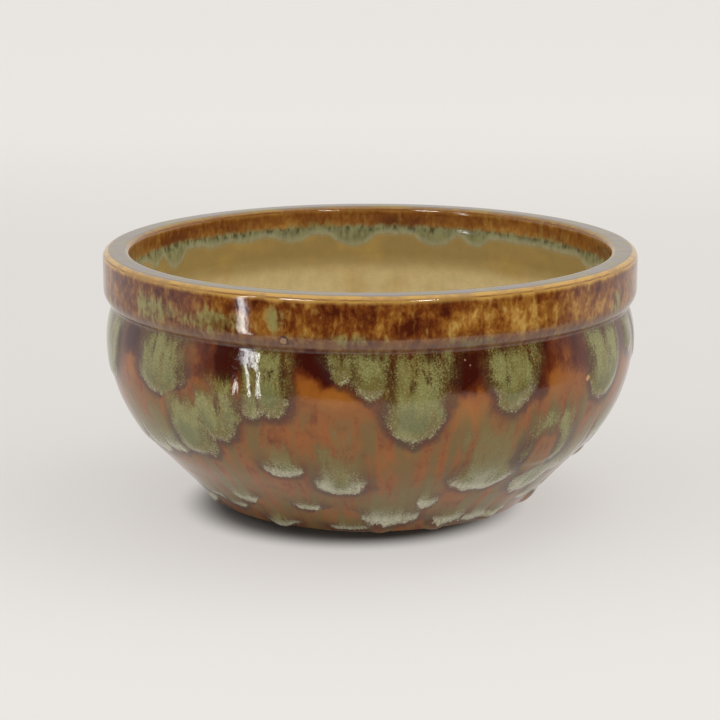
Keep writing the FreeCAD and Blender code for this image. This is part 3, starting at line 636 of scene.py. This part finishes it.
def run_group(colours):
    """One layer of green runs over a colour: soft speckled sides, crystals in the tip, a dark halo."""
    values = ("Edge", "Ripe", "Bare", "Dark", "Frost", "Streaks", "Clouds", "Mottle", "Grain", "Crystals")
    wire, given, wanted = new_group("glaze_run", {"Under": "Color", **dict.fromkeys(values, "Float")},
                                    {"Color": "Color", "Pale": "Float"})
    streaky, speckled, cloudy, mottled = (
        wire.swing(given[name]) for name in ("Streaks", "Grain", "Clouds", "Mottle"))
    ripe, frost = given["Ripe"], given["Frost"]
    edge = wire.total(given["Edge"], (mottled, 11.0), (streaky, wire.fade(ripe, 0.5, 0.95, 9.0, 4.0)),
                      (speckled, 3.0), (given["Bare"], -20.0))
    soft = wire.fade(ripe, 0.6, 0.95, 7.5, 2.0)
    share = wire.total(wire.sum("DIVIDE", edge, soft), (speckled, 1.2), (streaky, 0.6))
    grown = wire.total(ripe, (streaky, 0.8), (cloudy, 0.6), (speckled, 0.6))
    grown = wire.fade(grown, wire.total(0.08, (frost, 0.02)), wire.total(0.50, (frost, 0.04)))
    cover = wire.times(wire.fade(share, -0.6, 0.9), grown, 0.94)

    halo = wire.times(wire.fade(edge, -6.0, -0.6), wire.fade(ripe, 0.45, 0.85),
                      wire.total(0.8, (frost, -0.12)))
    colour = wire.mix(halo, given["Under"], colours.halo)
    tone = wire.total(wire.fade(edge, 0.0, 9.0, -0.2, 0.08), (cloudy, 1.0), (streaky, 0.5))
    body = wire.mix(wire.fade(tone, -0.14, 0.14), colours.olive, colours.green)
    body = wire.mix(wire.fade(speckled, 0.02, 0.2, 0.0, 0.45), body, scaled(colours.green, 1.7))
    body = wire.mix(wire.fade(speckled, -0.02, -0.2, 0.0, 0.4), body, colours.deep_green)
    thick = wire.total(ripe, (cloudy, 0.9), (frost, 0.14))
    core = wire.times(wire.fade(thick, 0.70, 0.92, 0.0, 0.6), wire.fade(edge, 3.0, 6.5))
    body = wire.mix(core, body, colours.deep_green)
    milky = wire.fade(wire.total(cloudy, (speckled, 0.8)), -0.1, 0.18, 0.0, 0.55)
    body = wire.mix(wire.times(frost, milky, wire.fade(ripe, 0.48, 0.74)), body, colours.pale)
    at_side = wire.fade(wire.total(edge, (speckled, 6.0)), 7.0, -0.5)
    body = wire.mix(wire.times(at_side, wire.fade(ripe, 0.92, 0.7, 0.0, 0.75)), body, colours.streak)
    hanging = wire.times(wire.fade(wire.total(streaky, (cloudy, 0.6), (speckled, 0.3)), -0.08, -0.22),
                         wire.fade(ripe, 0.85, 0.6))
    drawn = wire.times(given["Dark"], wire.fade(wire.total(streaky, (speckled, 0.8)), 0.16, -0.06))
    body = wire.mix(wire.times(wire.sum("MAXIMUM", hanging, drawn), 0.8), body, colours.streak)
    body = wire.mix(wire.times(frost, wire.fade(ripe, 0.85, 0.5, 0.1, 0.85)), body, colours.khaki_veil)
    colour = wire.mix(cover, colour, body)

    reach = wire.total(2.8, (frost, 9.5))
    rim = wire.times(wire.fade(edge, -0.5, 0.9), wire.fade(edge, reach, wire.times(reach, 0.3)))
    even = wire.times(frost, 0.5)
    fleck = wire.fade(wire.total(given["Crystals"], (speckled, 0.6), (frost, 0.08)), 0.50, 0.68)
    fleck = wire.total(even, (fleck, wire.sum("SUBTRACT", 1.0, even)))
    at_tip = wire.fade(ripe, wire.total(0.78, (frost, -0.08)), wire.total(0.96, (frost, -0.08)))
    pale = wire.times(rim, at_tip, fleck, wire.total(0.36, (frost, 0.42)))
    wire.feed(wanted["Color"], wire.mix(pale, colour, colours.pale))
    wire.feed(wanted["Pale"], pale)


def spot_group():
    """A small round mark on the surface: 1 in its middle and 0 outside it."""
    wire, given, wanted = new_group(
        "spot", {"Position": "Vector", "Middle": "Vector", "Radius": "Float", "Ragged": "Float"},
        {"Spot": "Float"})
    away = wire.vector("DISTANCE", {0: given["Position"], 1: given["Middle"]})["Value"]
    share = wire.sum("ADD", wire.sum("DIVIDE", away, given["Radius"]), wire.swing(given["Ragged"]))
    wire.feed(wanted["Spot"], wire.fade(share, 1.0, 0.7))


def fringe_group(colours):
    """The green fringe under the lip: dark spots where it meets the brown above, paler at its lower edge."""
    wire, given, wanted = new_group("lip_fringe", {"Position": "Vector", "Edge": "Float"},
                                    {"Color": "Color", "Cover": "Float", "Below": "Float"})
    streaky = wire.swing(wire.noise(given["Position"], "fringe_streaks"))
    spots = wire.noise(given["Position"], "fringe_spots")
    height = wire.split(given["Position"])["Z"]
    ragged = wire.total(wire.sum("SUBTRACT", FRINGE_TOP, height), (streaky, 5 * MM))
    edge = wire.total(given["Edge"], (streaky, 3.0))
    green = wire.mix(wire.fade(streaky, 0.12, -0.16, 0.0, 0.45), colours.fringe, colours.fringe_dark)
    near_top = wire.times(wire.fade(ragged, 5.5 * MM, 1.5 * MM), wire.fade(spots, 0.52, 0.62, 0.0, 0.7))
    green = wire.mix(near_top, green, scaled(colours.fringe_dark, 0.5))
    green = wire.mix(wire.fade(edge, 4.5, 0.8, 0.0, 0.35), green, colours.pale)
    wire.feed(wanted["Color"], green)
    wire.feed(wanted["Cover"], wire.fade(edge, -1.6, 1.8))
    wire.feed(wanted["Below"], wire.fade(ragged, -1.4 * MM, 2.2 * MM))


def peel_group():
    """Height of the orange peel and the slow waves that a melted glaze keeps."""
    wire, given, wanted = new_group("orange_peel", {"Position": "Vector"}, {"Height": "Float"})
    peel, waves = (wire.noise(given["Position"], name) for name in ("peel", "waves"))
    wire.feed(wanted["Height"], wire.total(waves, (peel, 0.27)))


def shared_groups(colours):
    """Builds the node groups that more than one material or layer uses, once."""
    if "flow" not in bpy.data.node_groups:
        flow_group()
        run_group(colours)
        fringe_group(colours)
        spot_group()
        peel_group()


def new_material(name):
    """An empty node material; gives it, its wiring, its Principled shader and object coordinates."""
    material = bpy.data.materials.new(name)
    material.use_nodes = True
    wire = Wiring(material.node_tree)
    shader = material.node_tree.nodes["Principled BSDF"]
    return material, wire, shader, wire.add("ShaderNodeTexCoord").outputs["Object"]


def finish_surface(wire, shader, colour, roughness, bump, strength, depth):
    """Feeds a shader its colour, roughness and bump; depth is the bump's height in millimetres."""
    wire.feed(shader.inputs["Base Color"], colour)
    wire.feed(shader.inputs["Roughness"], roughness)
    normal = wire.add("ShaderNodeBump", {"Strength": strength, "Distance": depth * MM, "Height": bump})
    wire.feed(shader.inputs["Normal"], normal.outputs[0])


def on_wall(section, turn, height):
    """The place on the glazed band's turned edge or belly at a turn in degrees and a height in metres."""
    coat = section.s.amber_coat
    if height > section.crease[1]:
        centre, radius = section.band, section.s.band_round + coat
    elif height > section.ring:
        centre, radius = section.shoulder, section.s.shoulder_arc + coat
    else:
        centre, radius = section.belly, section.s.belly_arc + coat
    out = centre[0] + math.sqrt(radius ** 2 - (height - centre[1]) ** 2)
    return (out * math.sin(math.radians(turn)), -out * math.cos(math.radians(turn)), height)


def running_glaze(colours, section):
    """The outer glaze: amber and maroon with three layers of green runs, and a mottled band."""
    shared_groups(colours)
    material, wire, shader, position = new_material("running_glaze")
    streaks, clouds, mottle, grain, crystals = (
        wire.noise(position, name) for name in ("streaks", "clouds", "mottle", "grain", "crystals"))
    height = wire.split(position)["Z"]
    edge, ripe, patches, marks = (
        wire.attribute(name) for name in ("run_edge", "run_ripe", "patches", "marks"))

    warmth = wire.times(patches["X"], wire.fade(clouds, 0.34, 0.62, 0.65, 1.25))
    warmth = wire.total(warmth, *((wire.swing(noise), weight)
                                  for noise, weight in ((mottle, 1.2), (streaks, 0.6), (crystals, 0.6))))
    warmth = wire.add("ShaderNodeMapRange", {"Value": warmth, "From Min": -1.0, "From Max": 1.0}).outputs[0]
    colour = wire.ramp(warmth, (0.05, colours.maroon), (0.34, colours.red_brown),
                       (0.56, colours.orange_brown), (1.0, colours.orange))
    veil = wire.total(0.0, (clouds, 0.6), (streaks, 0.4))
    veil = wire.times(wire.fade(veil, 0.39, 0.59, 0.0, 0.78),
                      wire.fade(height, section.ring - 2 * MM, section.ring - 22 * MM))
    colour = wire.mix(veil, colour, colours.khaki_veil)

    pale = 0.0
    for axis, _, _, frost in reversed(RUN_LAYERS):
        layer = wire.group("glaze_run", Under=colour, Edge=edge[axis], Ripe=ripe[axis], Bare=patches["Z"],
                           Dark=marks["X"], Frost=frost, Streaks=streaks, Clouds=clouds, Mottle=mottle,
                           Grain=grain, Crystals=crystals)
        colour = layer["Color"]
        pale = wire.sum("MAXIMUM", pale, layer["Pale"])

    band = band_colour(colours, wire, position, section, streaks, mottle, patches["Y"], marks["Y"])
    ragged = wire.total(height, (wire.swing(streaks), 5 * MM))
    crease = section.crease[1] + 1.8 * MM
    colour = wire.mix(wire.fade(ragged, crease - 1.6 * MM, crease + 1.2 * MM), colour, band)

    bump = wire.group("orange_peel", Position=position)[0]
    bump = wire.total(bump, (pale, wire.times(grain, 0.5)))
    for turn, up, radius, kind in FAULTS:
        mark = wire.group("spot", Position=position, Middle=on_wall(section, turn, up * MM),
                          Radius=radius * MM, Ragged=grain)[0]
        colour = wire.mix(wire.times(mark, 0.85), colour, FAULT_COLOURS[kind])
        bump = wire.total(bump, (mark, -0.6))
    finish_surface(wire, shader, colour, wire.fade(pale, 0.0, 1.0, 0.06, 0.2), bump, 0.4, 0.35)
    return material


def band_colour(colours, wire, position, section, streaks, mottle, green, cloud):
    """The rim: clouded brown and amber with gold flecks, green patches, gold where the glaze breaks, a
    painted reflection of the floor on the turned-under edge, and a top greyed by a painted sheen.
    """
    spot = wire.split(position)
    flecks = wire.noise(position, "band_flecks")
    streaky = wire.swing(streaks)
    top = section.s.clay_height + section.s.amber_coat
    radius = wire.from_axis(spot)
    middle, half_top = (section.rim[0] + section.lip[0]) / 2, (section.rim[0] - section.lip[0]) / 2
    in_lip = wire.fade(radius, section.lip_radius + 1.0 * MM, section.lip_radius)

    under_edge = wire.fade(spot["Z"], top - 11 * MM, top - 6 * MM)
    wild = wire.total(-0.47, (mottle, 0.44), (flecks, 0.5), (streaky, 0.2))
    tone = wire.total(0.55, (in_lip, 0.04), (wild, wire.fade(in_lip, 0.0, 1.0, 1.0, 0.5)),
                      (under_edge, -0.05), (cloud, 1.0))
    colour = wire.ramp(tone, (0.37, colours.band_dark), (0.49, colours.band_brown),
                       (0.60, colours.band_amber), (0.78, colours.band_gold))
    patchy = wire.total(green, (streaky, 1.4), (wire.swing(flecks), 1.6))
    leaf = wire.fade(wire.total(streaky, (flecks, 0.8)), 0.3, 0.5)
    leaf = wire.mix(leaf, colours.band_green, colours.green)
    colour = wire.mix(wire.fade(patchy, 0.1, 1.0, 0.0, 0.85), colour, leaf)
    # Painted reflection of the floor on the band's turned-under edge
    turned = wire.fade(spot["Z"], section.band[1] + 1 * MM, section.band[1] - 5 * MM, 0.0, 0.6)
    colour = wire.mix(turned, colour, colours.turned_edge_reflection)

    # The rim's flat top: its glaze colour, greyed and lightened as a painted sheen of the backdrop, mixed
    # with green
    flat = wire.mix(wire.fade(mottle, 0.42, 0.60), colours.rim_top_and_sheen, colours.band_green)
    on_top = wire.times(wire.fade(spot["Z"], top - 1.2 * MM, top - 0.4 * MM),
                        wire.fade(mottle, 0.36, 0.62, 0.98, 0.8))
    colour = wire.mix(on_top, colour, flat)
    from_middle = wire.sum("ABSOLUTE", wire.sum("SUBTRACT", radius, middle))
    shaken = wire.total(spot["Z"], (streaky, 2.0 * MM))
    at_edge = wire.times(wire.fade(shaken, top - 4.2 * MM, top - 1.6 * MM),
                         wire.fade(from_middle, half_top + 0.2 * MM, half_top + 1.2 * MM),
                         wire.fade(mottle, 0.36, 0.58, 0.6, 1.0),
                         wire.fade(radius, middle - 1 * MM, middle + 1 * MM, 0.4, 1.0))
    colour = wire.mix(at_edge, colour, colours.band_gold)
    shaken = wire.total(spot["Z"], (streaky, 0.9 * MM))
    line = wire.times(wire.fade(shaken, top - 2.2 * MM, top - 1.8 * MM),
                      wire.fade(shaken, top - 1.0 * MM, top - 1.5 * MM),
                      wire.fade(mottle, 0.38, 0.58, 0.1, 0.65))
    colour = wire.mix(line, colour, colours.red_brown)
    fringe = wire.group("lip_fringe", Position=position, Edge=10.0)
    return wire.mix(wire.times(in_lip, fringe["Below"]), colour, fringe["Color"])


def liner_material(colours):
    """The khaki liner, paler down the wall as painted light, with yellow blotches, and the green scalloped
    fringe under the lip.
    """
    shared_groups(colours)
    material, wire, shader, position = new_material("liner_glaze")
    blotches, clouds, grain = (
        wire.noise(position, name) for name in ("liner_blotches", "liner_clouds", "liner_grain"))
    height = wire.split(position)["Z"]
    # Painted light: the khaki turns paler down the inner wall
    colour = wire.mix(wire.fade(height, *LINER_PAINTED_LIGHT), colours.khaki, colours.khaki_painted_light)
    colour = wire.mix(wire.fade(height, *LINER_DARKENS), colour, colours.khaki_floor)
    colour = wire.mix(wire.fade(blotches, 0.52, 0.76, 0.0, 0.55), colour, colours.blotch)
    shade = wire.fade(wire.total(0.0, (clouds, 0.7), (grain, 0.3)), 0.3, 0.7, 0.0, 0.2)
    colour = wire.mix(shade, colour, scaled(colours.khaki, 0.55))
    edge = wire.add("ShaderNodeAttribute", attribute_name="fringe").outputs["Fac"]
    fringe = wire.group("lip_fringe", Position=position, Edge=edge)
    green = wire.mix(fringe["Below"], colours.band_brown, fringe["Color"])
    colour = wire.mix(fringe["Cover"], colour, green)
    bump = wire.group("orange_peel", Position=position)[0]
    finish_surface(wire, shader, colour, wire.fade(fringe["Cover"], 0.0, 1.0, 0.32, 0.12), bump, 0.25, 0.3)
    return material


def stoneware_material(colours):
    """Bare fired clay: warm buff, toasted in clouds, with iron specks, turning rings and fine grit."""
    material, wire, shader, position = new_material("stoneware")
    clouds, grit = (wire.noise(position, name) for name in ("toasting", "grit"))
    specks = wire.add("ShaderNodeTexVoronoi", {"Vector": position, "Scale": SPECK_SCALE}).outputs["Distance"]
    rings = wire.sum("SINE", wire.times(wire.from_axis(wire.split(position)), RING_SCALE))
    colour = wire.mix(wire.fade(clouds, 0.35, 0.7), colours.clay, colours.clay_dark)
    colour = wire.mix(wire.fade(specks, 0.16, 0.08, 0.0, 0.7), colour, scaled(colours.clay_dark, 0.35))
    bump = wire.total(grit, (rings, 0.25))
    finish_surface(wire, shader, colour, wire.fade(grit, 0.3, 0.7, 0.72, 0.9), bump, 0.4, 0.15)
    return material


def wear(piece, material):
    """Gives a piece one material."""
    piece.data.materials.clear()
    piece.data.materials.append(material)


class CACHEPOT_OT_clay_body(bpy.types.Operator):
    """Gives the packed clay body its bare stoneware finish"""

    bl_idname = "cachepot.clay_body"
    bl_label = "Clay body"

    def execute(self, context):
        wear(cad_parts["clay_body"], stoneware_material(context.scene.cachepot_colours))
        return {"FINISHED"}


class CACHEPOT_OT_outer_glaze(bpy.types.Operator):
    """Models the outer coat of glaze with its runs and beads in relief"""

    bl_idname = "cachepot.outer_glaze"
    bl_label = "Outer glaze"

    def execute(self, context):
        sizes = context.scene.cachepot_sizes
        section = Section(sizes, sizes.pool)
        piece = self.model(sizes, section, Section(sizes))
        self.paint(piece, sizes, section)
        wear(piece, running_glaze(context.scene.cachepot_colours, section))
        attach(piece, "root")
        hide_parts("amber_glaze", "shoulder_runs", "belly_runs", "foot_drips")
        return {"FINISHED"}

    def model(self, sizes, section, clay):
        """Draws the coat from its seam inside the lip, over the rim and down, then back along the clay."""
        quarter = math.pi / 2
        coat = sizes.amber_coat
        pen = Outline("running_glaze", (section.lip_radius - coat, section.seam))
        pen.line((section.lip_radius - coat, section.lip[1]), 4)
        pen.arc(section.lip, -quarter, 6)
        pen.line((section.rim[0], sizes.clay_height + coat), 5)
        pen.arc(section.rim, -quarter, 6)
        pen.line((sizes.rim_radius + coat, section.band[1]), 9)
        pen.arc(section.band, section.band_angle, 8)
        pen.arc(section.crease, section.shoulder_angle - section.band_angle, 6)
        pen.arc(section.shoulder, -section.shoulder_angle, 14)
        pen.arc(section.belly, -sizes.taper, 42)
        end_height = sizes.glaze_line - coat * math.sin(sizes.taper)
        pen.line(section.taper_point(coat, end_height), 32)
        pen.line(section.taper_point(0, sizes.glaze_line), 2)
        taper_top = section.ring - sizes.belly_arc * math.sin(sizes.taper)
        pen.line(section.taper_point(0, taper_top), 2)
        pen.arc(section.belly, sizes.taper, 8)
        pen.arc(clay.shoulder, clay.shoulder_angle, 3)
        pen.arc(clay.crease, clay.band_angle - clay.shoulder_angle, 3)
        pen.arc(clay.band, -clay.band_angle, 3)
        pen.line((sizes.rim_radius, section.rim[1]))
        pen.arc(section.rim, quarter, 3)
        pen.line((section.lip[0], sizes.clay_height))
        pen.arc(section.lip, quarter, 3)
        pen.line((section.lip_radius, section.seam))
        pen.line((section.lip_radius - coat, section.seam))
        return pen.turn(OUTER_STEPS)

    def paint(self, piece, sizes, section):
        """Works out where the runs and patches lie, raises them and keeps them for the material."""
        skin = Skin(piece)
        fields = [tongues(skin, section, runs, first) for _, runs, first, _ in RUN_LAYERS]
        relief = np.zeros(skin.turn.size)
        for edge, ripe in fields:
            thickness = THIN_RELIEF + (1 - THIN_RELIEF) * ripe ** 3
            relief = np.maximum(relief, smooth(-0.8, 4.5, edge) * thickness)
        for turn, height, half_width, proud in BEADS:
            up = (skin.height / MM - height) * BEAD_SQUASH
            away = np.hypot(skin.across(turn) / half_width, up / half_width)
            bead = np.cos(np.clip(away, 0, 1) * np.pi / 2)
            relief = np.maximum(relief, proud / (sizes.run_relief / MM) * bead)
        high, low = (section.ring + start for start in RELIEF_STARTS)
        relief *= smooth(0.2, 0.5, skin.outward) * smooth(high, low, skin.height)
        tallest = relief.max()
        raise_relief(piece, relief / tallest, sizes.run_relief * tallest)

        on_shoulder = smooth(section.ring - 6 * MM, section.ring + 6 * MM, skin.height)
        warmth = BELLY_WARMTH - SHOULDER_LOSS * on_shoulder
        green, bare, cloud, dark = np.zeros((4, warmth.size))
        for *oval, warm in WARM_PATCHES:
            warmth += warm * patch(skin, *oval)
        for *oval, strong in BAND_PATCHES:
            green = np.maximum(green, strong * patch(skin, *oval))
        for *oval, tone in BAND_CLOUDS:
            cloud += tone * patch(skin, *oval)
        for oval in BARE_PATCHES:
            bare = np.maximum(bare, patch(skin, *oval))
        for turn, high, low, half_width in DARK_STREAKS:
            dark = np.maximum(dark, patch(skin, turn, (high + low) / 2, half_width, (high - low) / 2))
        edges, ripeness = zip(*fields)
        for name, columns in (("run_edge", edges), ("run_ripe", ripeness), ("patches", (warmth, green, bare)),
                              ("marks", (dark, cloud, np.zeros(dark.size)))):
            store(piece, name, "FLOAT_VECTOR", np.stack(columns, axis=1))


class CACHEPOT_OT_liner_glaze(bpy.types.Operator):
    """Models the khaki liner and the green fringe under the lip"""

    bl_idname = "cachepot.liner_glaze"
    bl_label = "Liner glaze"

    def execute(self, context):
        sizes = context.scene.cachepot_sizes
        section = Section(sizes)
        piece = self.model(sizes, section)
        self.paint(piece, sizes, section)
        wear(piece, liner_material(context.scene.cachepot_colours))
        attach(piece, "root")
        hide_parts("liner_glaze", "lip_fringe")
        return {"FINISHED"}

    def model(self, sizes, section):
        """Draws the liner from the middle of the floor, up the wall to the seam, and back along the clay."""
        quarter = math.pi / 2
        coat = sizes.liner_coat
        inner = -sizes.wall - coat
        pen = Outline("liner", (0.0, sizes.floor_height + coat))
        pen.line((section.floor[0], sizes.floor_height + coat), 10)
        pen.arc(section.floor, quarter - sizes.taper, 8)
        arc_low = section.ring - (sizes.belly_arc + inner) * math.sin(sizes.taper)
        pen.line(section.taper_point(inner, arc_low), 14)
        pen.arc(section.belly, sizes.taper, 20)
        pen.arc(section.shoulder, section.blend_angle, 8)
        pen.arc(section.blend, -section.blend_angle, 6)
        pen.line((section.lip_radius - coat, section.seam), 14)
        pen.line((section.lip_radius, section.seam))
        pen.line((section.lip_radius, section.blend[1]))
        pen.arc(section.blend, section.blend_angle, 3)
        pen.arc(section.shoulder, -section.blend_angle, 3)
        pen.arc(section.belly, -sizes.taper, 5)
        clay_low = section.floor[1] - sizes.floor_round * math.sin(sizes.taper)
        pen.line(section.taper_point(-sizes.wall, clay_low))
        pen.arc(section.floor, sizes.taper - quarter, 3)
        pen.line((0.0, sizes.floor_height), 2)
        return pen.turn(LINER_STEPS)

    def paint(self, piece, sizes, section):
        """Works out where the fringe lies, raises it a little and keeps it for the material."""
        skin = Skin(piece)
        edge = skin.height / MM - FRINGE_LEVEL
        for turn, tip, half_width in FRINGE_TIPS:
            scallop = np.cos(np.clip(skin.across(turn) / half_width, -1, 1) * np.pi / 2) ** 0.8
            hang = (FRINGE_LEVEL - tip) * scallop
            edge = np.maximum(edge, skin.height / MM - FRINGE_LEVEL + hang)
        high = smooth(*FRINGE_STARTS, skin.height)
        edge = edge * high - FAR * (1 - high)
        raised = smooth(-0.5, 2.5, edge) * smooth(section.seam, section.seam - 3 * MM, skin.height)
        raise_relief(piece, raised * (skin.outward < -0.5), sizes.fringe_relief)
        store(piece, "fringe", "FLOAT", edge)


class CACHEPOT_OT_stage(bpy.types.Operator):
    """Sets up the pale floor, the soft light and the camera at the photograph's angle"""

    bl_idname = "cachepot.stage"
    bl_label = "Stage"

    def execute(self, context):
        stage = context.scene.cachepot_stage
        self.lay_floor(stage)
        self.light_world(context.scene, stage)
        self.hang_lamps(stage)
        self.set_camera(context.scene, stage)
        context.scene.view_settings.view_transform = "Standard"
        return {"FINISHED"}

    def lay_floor(self, stage):
        """A pale sheet that narrows towards its front edge, which lies past the frame's lower edge, and glows
        on its own except near the pot, where that painted light leaves a painted shadow.
        """
        bpy.ops.object.select_all(action="DESELECT")
        middle = (stage.floor_back - stage.floor_front) / 2
        bpy.ops.mesh.primitive_plane_add(size=2.0, location=(0, middle, 0))
        floor = bpy.context.object
        floor.name = "floor"
        floor.scale = (stage.floor_side, (stage.floor_back + stage.floor_front) / 2, 1)
        bpy.ops.object.transform_apply(location=True, rotation=True, scale=True)
        for vertex in floor.data.vertices:
            if vertex.co.y < 0:
                vertex.co.x = math.copysign(stage.floor_mouth, vertex.co.x)
        material, wire, shader, position = new_material("floor")
        back = wire.split(position)["Y"]
        # Painted shade: a darker band across the floor behind the pot
        painted_dip = wire.times(wire.fade(back, *PAINTED_DIP_STARTS), wire.fade(back, *PAINTED_DIP_ENDS))
        colour = wire.mix(painted_dip, stage.floor_colour, scaled(stage.floor_colour, PAINTED_DIP_SHADE))
        # Painted shadow: the floor's own glow fades out near the pot's foot, and its lamp-lit share is cut to
        # match
        away = wire.vector("DISTANCE", {0: position, 1: PAINTED_SHADOW_MIDDLE})["Value"]
        floor_painted_glow = wire.fade(away, stage.painted_shadow_reach, stage.painted_shadow_reach + PAINTED_SHADOW_BLUR, 0.0, stage.floor_painted_glow)
        lit = (1 - stage.floor_painted_glow,) * 3
        wire.feed(shader.inputs["Base Color"], wire.mix(1.0, colour, lit, "MULTIPLY"))
        wire.feed(shader.inputs["Emission Color"], colour)
        wire.feed(shader.inputs["Emission Strength"], floor_painted_glow)
        shader.inputs["Roughness"].default_value = 0.85
        shader.inputs["Specular IOR Level"].default_value = 0.1
        wear(floor, material)

    def light_world(self, scene, stage):
        """Even light, pale to the camera, with a dark room in front of the pot for its reflections."""
        world = bpy.data.worlds.new("studio")
        world.use_nodes = True
        scene.world = world
        wire = Wiring(world.node_tree)
        path = wire.add("ShaderNodeLightPath").outputs
        direction = wire.split(wire.add("ShaderNodeTexCoord").outputs["Generated"])
        facing = wire.sum("SUBTRACT", wire.times(direction["X"], ROOM_ASIDE), direction["Y"])
        room = wire.times(wire.fade(facing, *ROOM_SIDES), wire.fade(direction["Z"], *ROOM_CEILING))
        reflected = wire.mix(room, scaled(stage.backdrop_colour, BACKDROP_SHARE), ROOM_COLOUR)
        unseen = wire.mix(path["Is Glossy Ray"], (stage.fill,) * 3, reflected)
        seen = wire.mix(path["Is Camera Ray"], unseen, stage.backdrop_colour)
        background = wire.add("ShaderNodeBackground", {"Color": seen})
        wire.feed(world.node_tree.nodes["World Output"].inputs["Surface"], background.outputs[0])

    def hang_lamps(self, stage):
        """A soft main lamp from the upper right, and narrow lamps that only show as reflections."""
        self.lamp("key", KEY_PLACE, KEY_SIZE, stage.key).visible_glossy = False
        for strip in STRIPS:
            self.lamp(*strip).visible_diffuse = False

    def lamp(self, name, place, size, power):
        """A rectangular lamp that faces the pot."""
        bpy.ops.object.select_all(action="DESELECT")
        bpy.ops.object.light_add(type="AREA", location=place)
        lamp = bpy.context.object
        lamp.name = name
        lamp.data.shape = "RECTANGLE"
        lamp.data.size, lamp.data.size_y = size
        lamp.data.energy = power
        aim = lamp.location.copy()
        aim.z -= LAMP_AIM
        lamp.rotation_euler = aim.to_track_quat("Z", "Y").to_euler()
        return lamp

    def set_camera(self, scene, stage):
        """The camera that the photograph was taken from."""
        bpy.ops.object.camera_add(
            location=(0, -stage.camera_back, stage.camera_up),
            rotation=(math.pi / 2 - stage.camera_pitch, 0, 0))
        camera = bpy.context.object
        camera.data.sensor_width = CAMERA_SENSOR
        camera.data.lens = stage.lens
        camera.data.shift_x = stage.shift
        scene.camera = camera


class CACHEPOT_PT_panel(bpy.types.Panel):
    """Lists the cachepot's pieces and its stage."""

    bl_label = "Cachepot"
    bl_space_type = "VIEW_3D"
    bl_region_type = "UI"
    bl_category = "Cachepot"

    def draw(self, context):
        for operator in OPERATORS:
            self.layout.operator(operator.bl_idname)
        for settings in SETTINGS:
            group, box = getattr(context.scene, settings), self.layout.box()
            for name in group.bl_rna.properties.keys():
                if name not in ("rna_type", "name"):
                    box.prop(group, name)


OPERATORS = (CACHEPOT_OT_clay_body, CACHEPOT_OT_outer_glaze, CACHEPOT_OT_liner_glaze, CACHEPOT_OT_stage)
SETTINGS = {
    "cachepot_sizes": CachepotSizes, "cachepot_colours": CachepotColours, "cachepot_stage": CachepotStage}


def register():
    """Adds the classes and their settings to Blender."""
    for item in (*SETTINGS.values(), *OPERATORS, CACHEPOT_PT_panel):
        bpy.utils.register_class(item)
    for name, group in SETTINGS.items():
        setattr(bpy.types.Scene, name, bpy.props.PointerProperty(type=group))


def unregister():
    """Takes them out again."""
    for name in SETTINGS:
        delattr(bpy.types.Scene, name)
    for item in reversed((*SETTINGS.values(), *OPERATORS, CACHEPOT_PT_panel)):
        bpy.utils.unregister_class(item)


def main():
    """Builds every piece and the stage."""
    register()
    bpy.ops.cachepot.clay_body()
    bpy.ops.cachepot.outer_glaze()
    bpy.ops.cachepot.liner_glaze()
    bpy.ops.cachepot.stage()


if __name__ == "__main__":
    main()
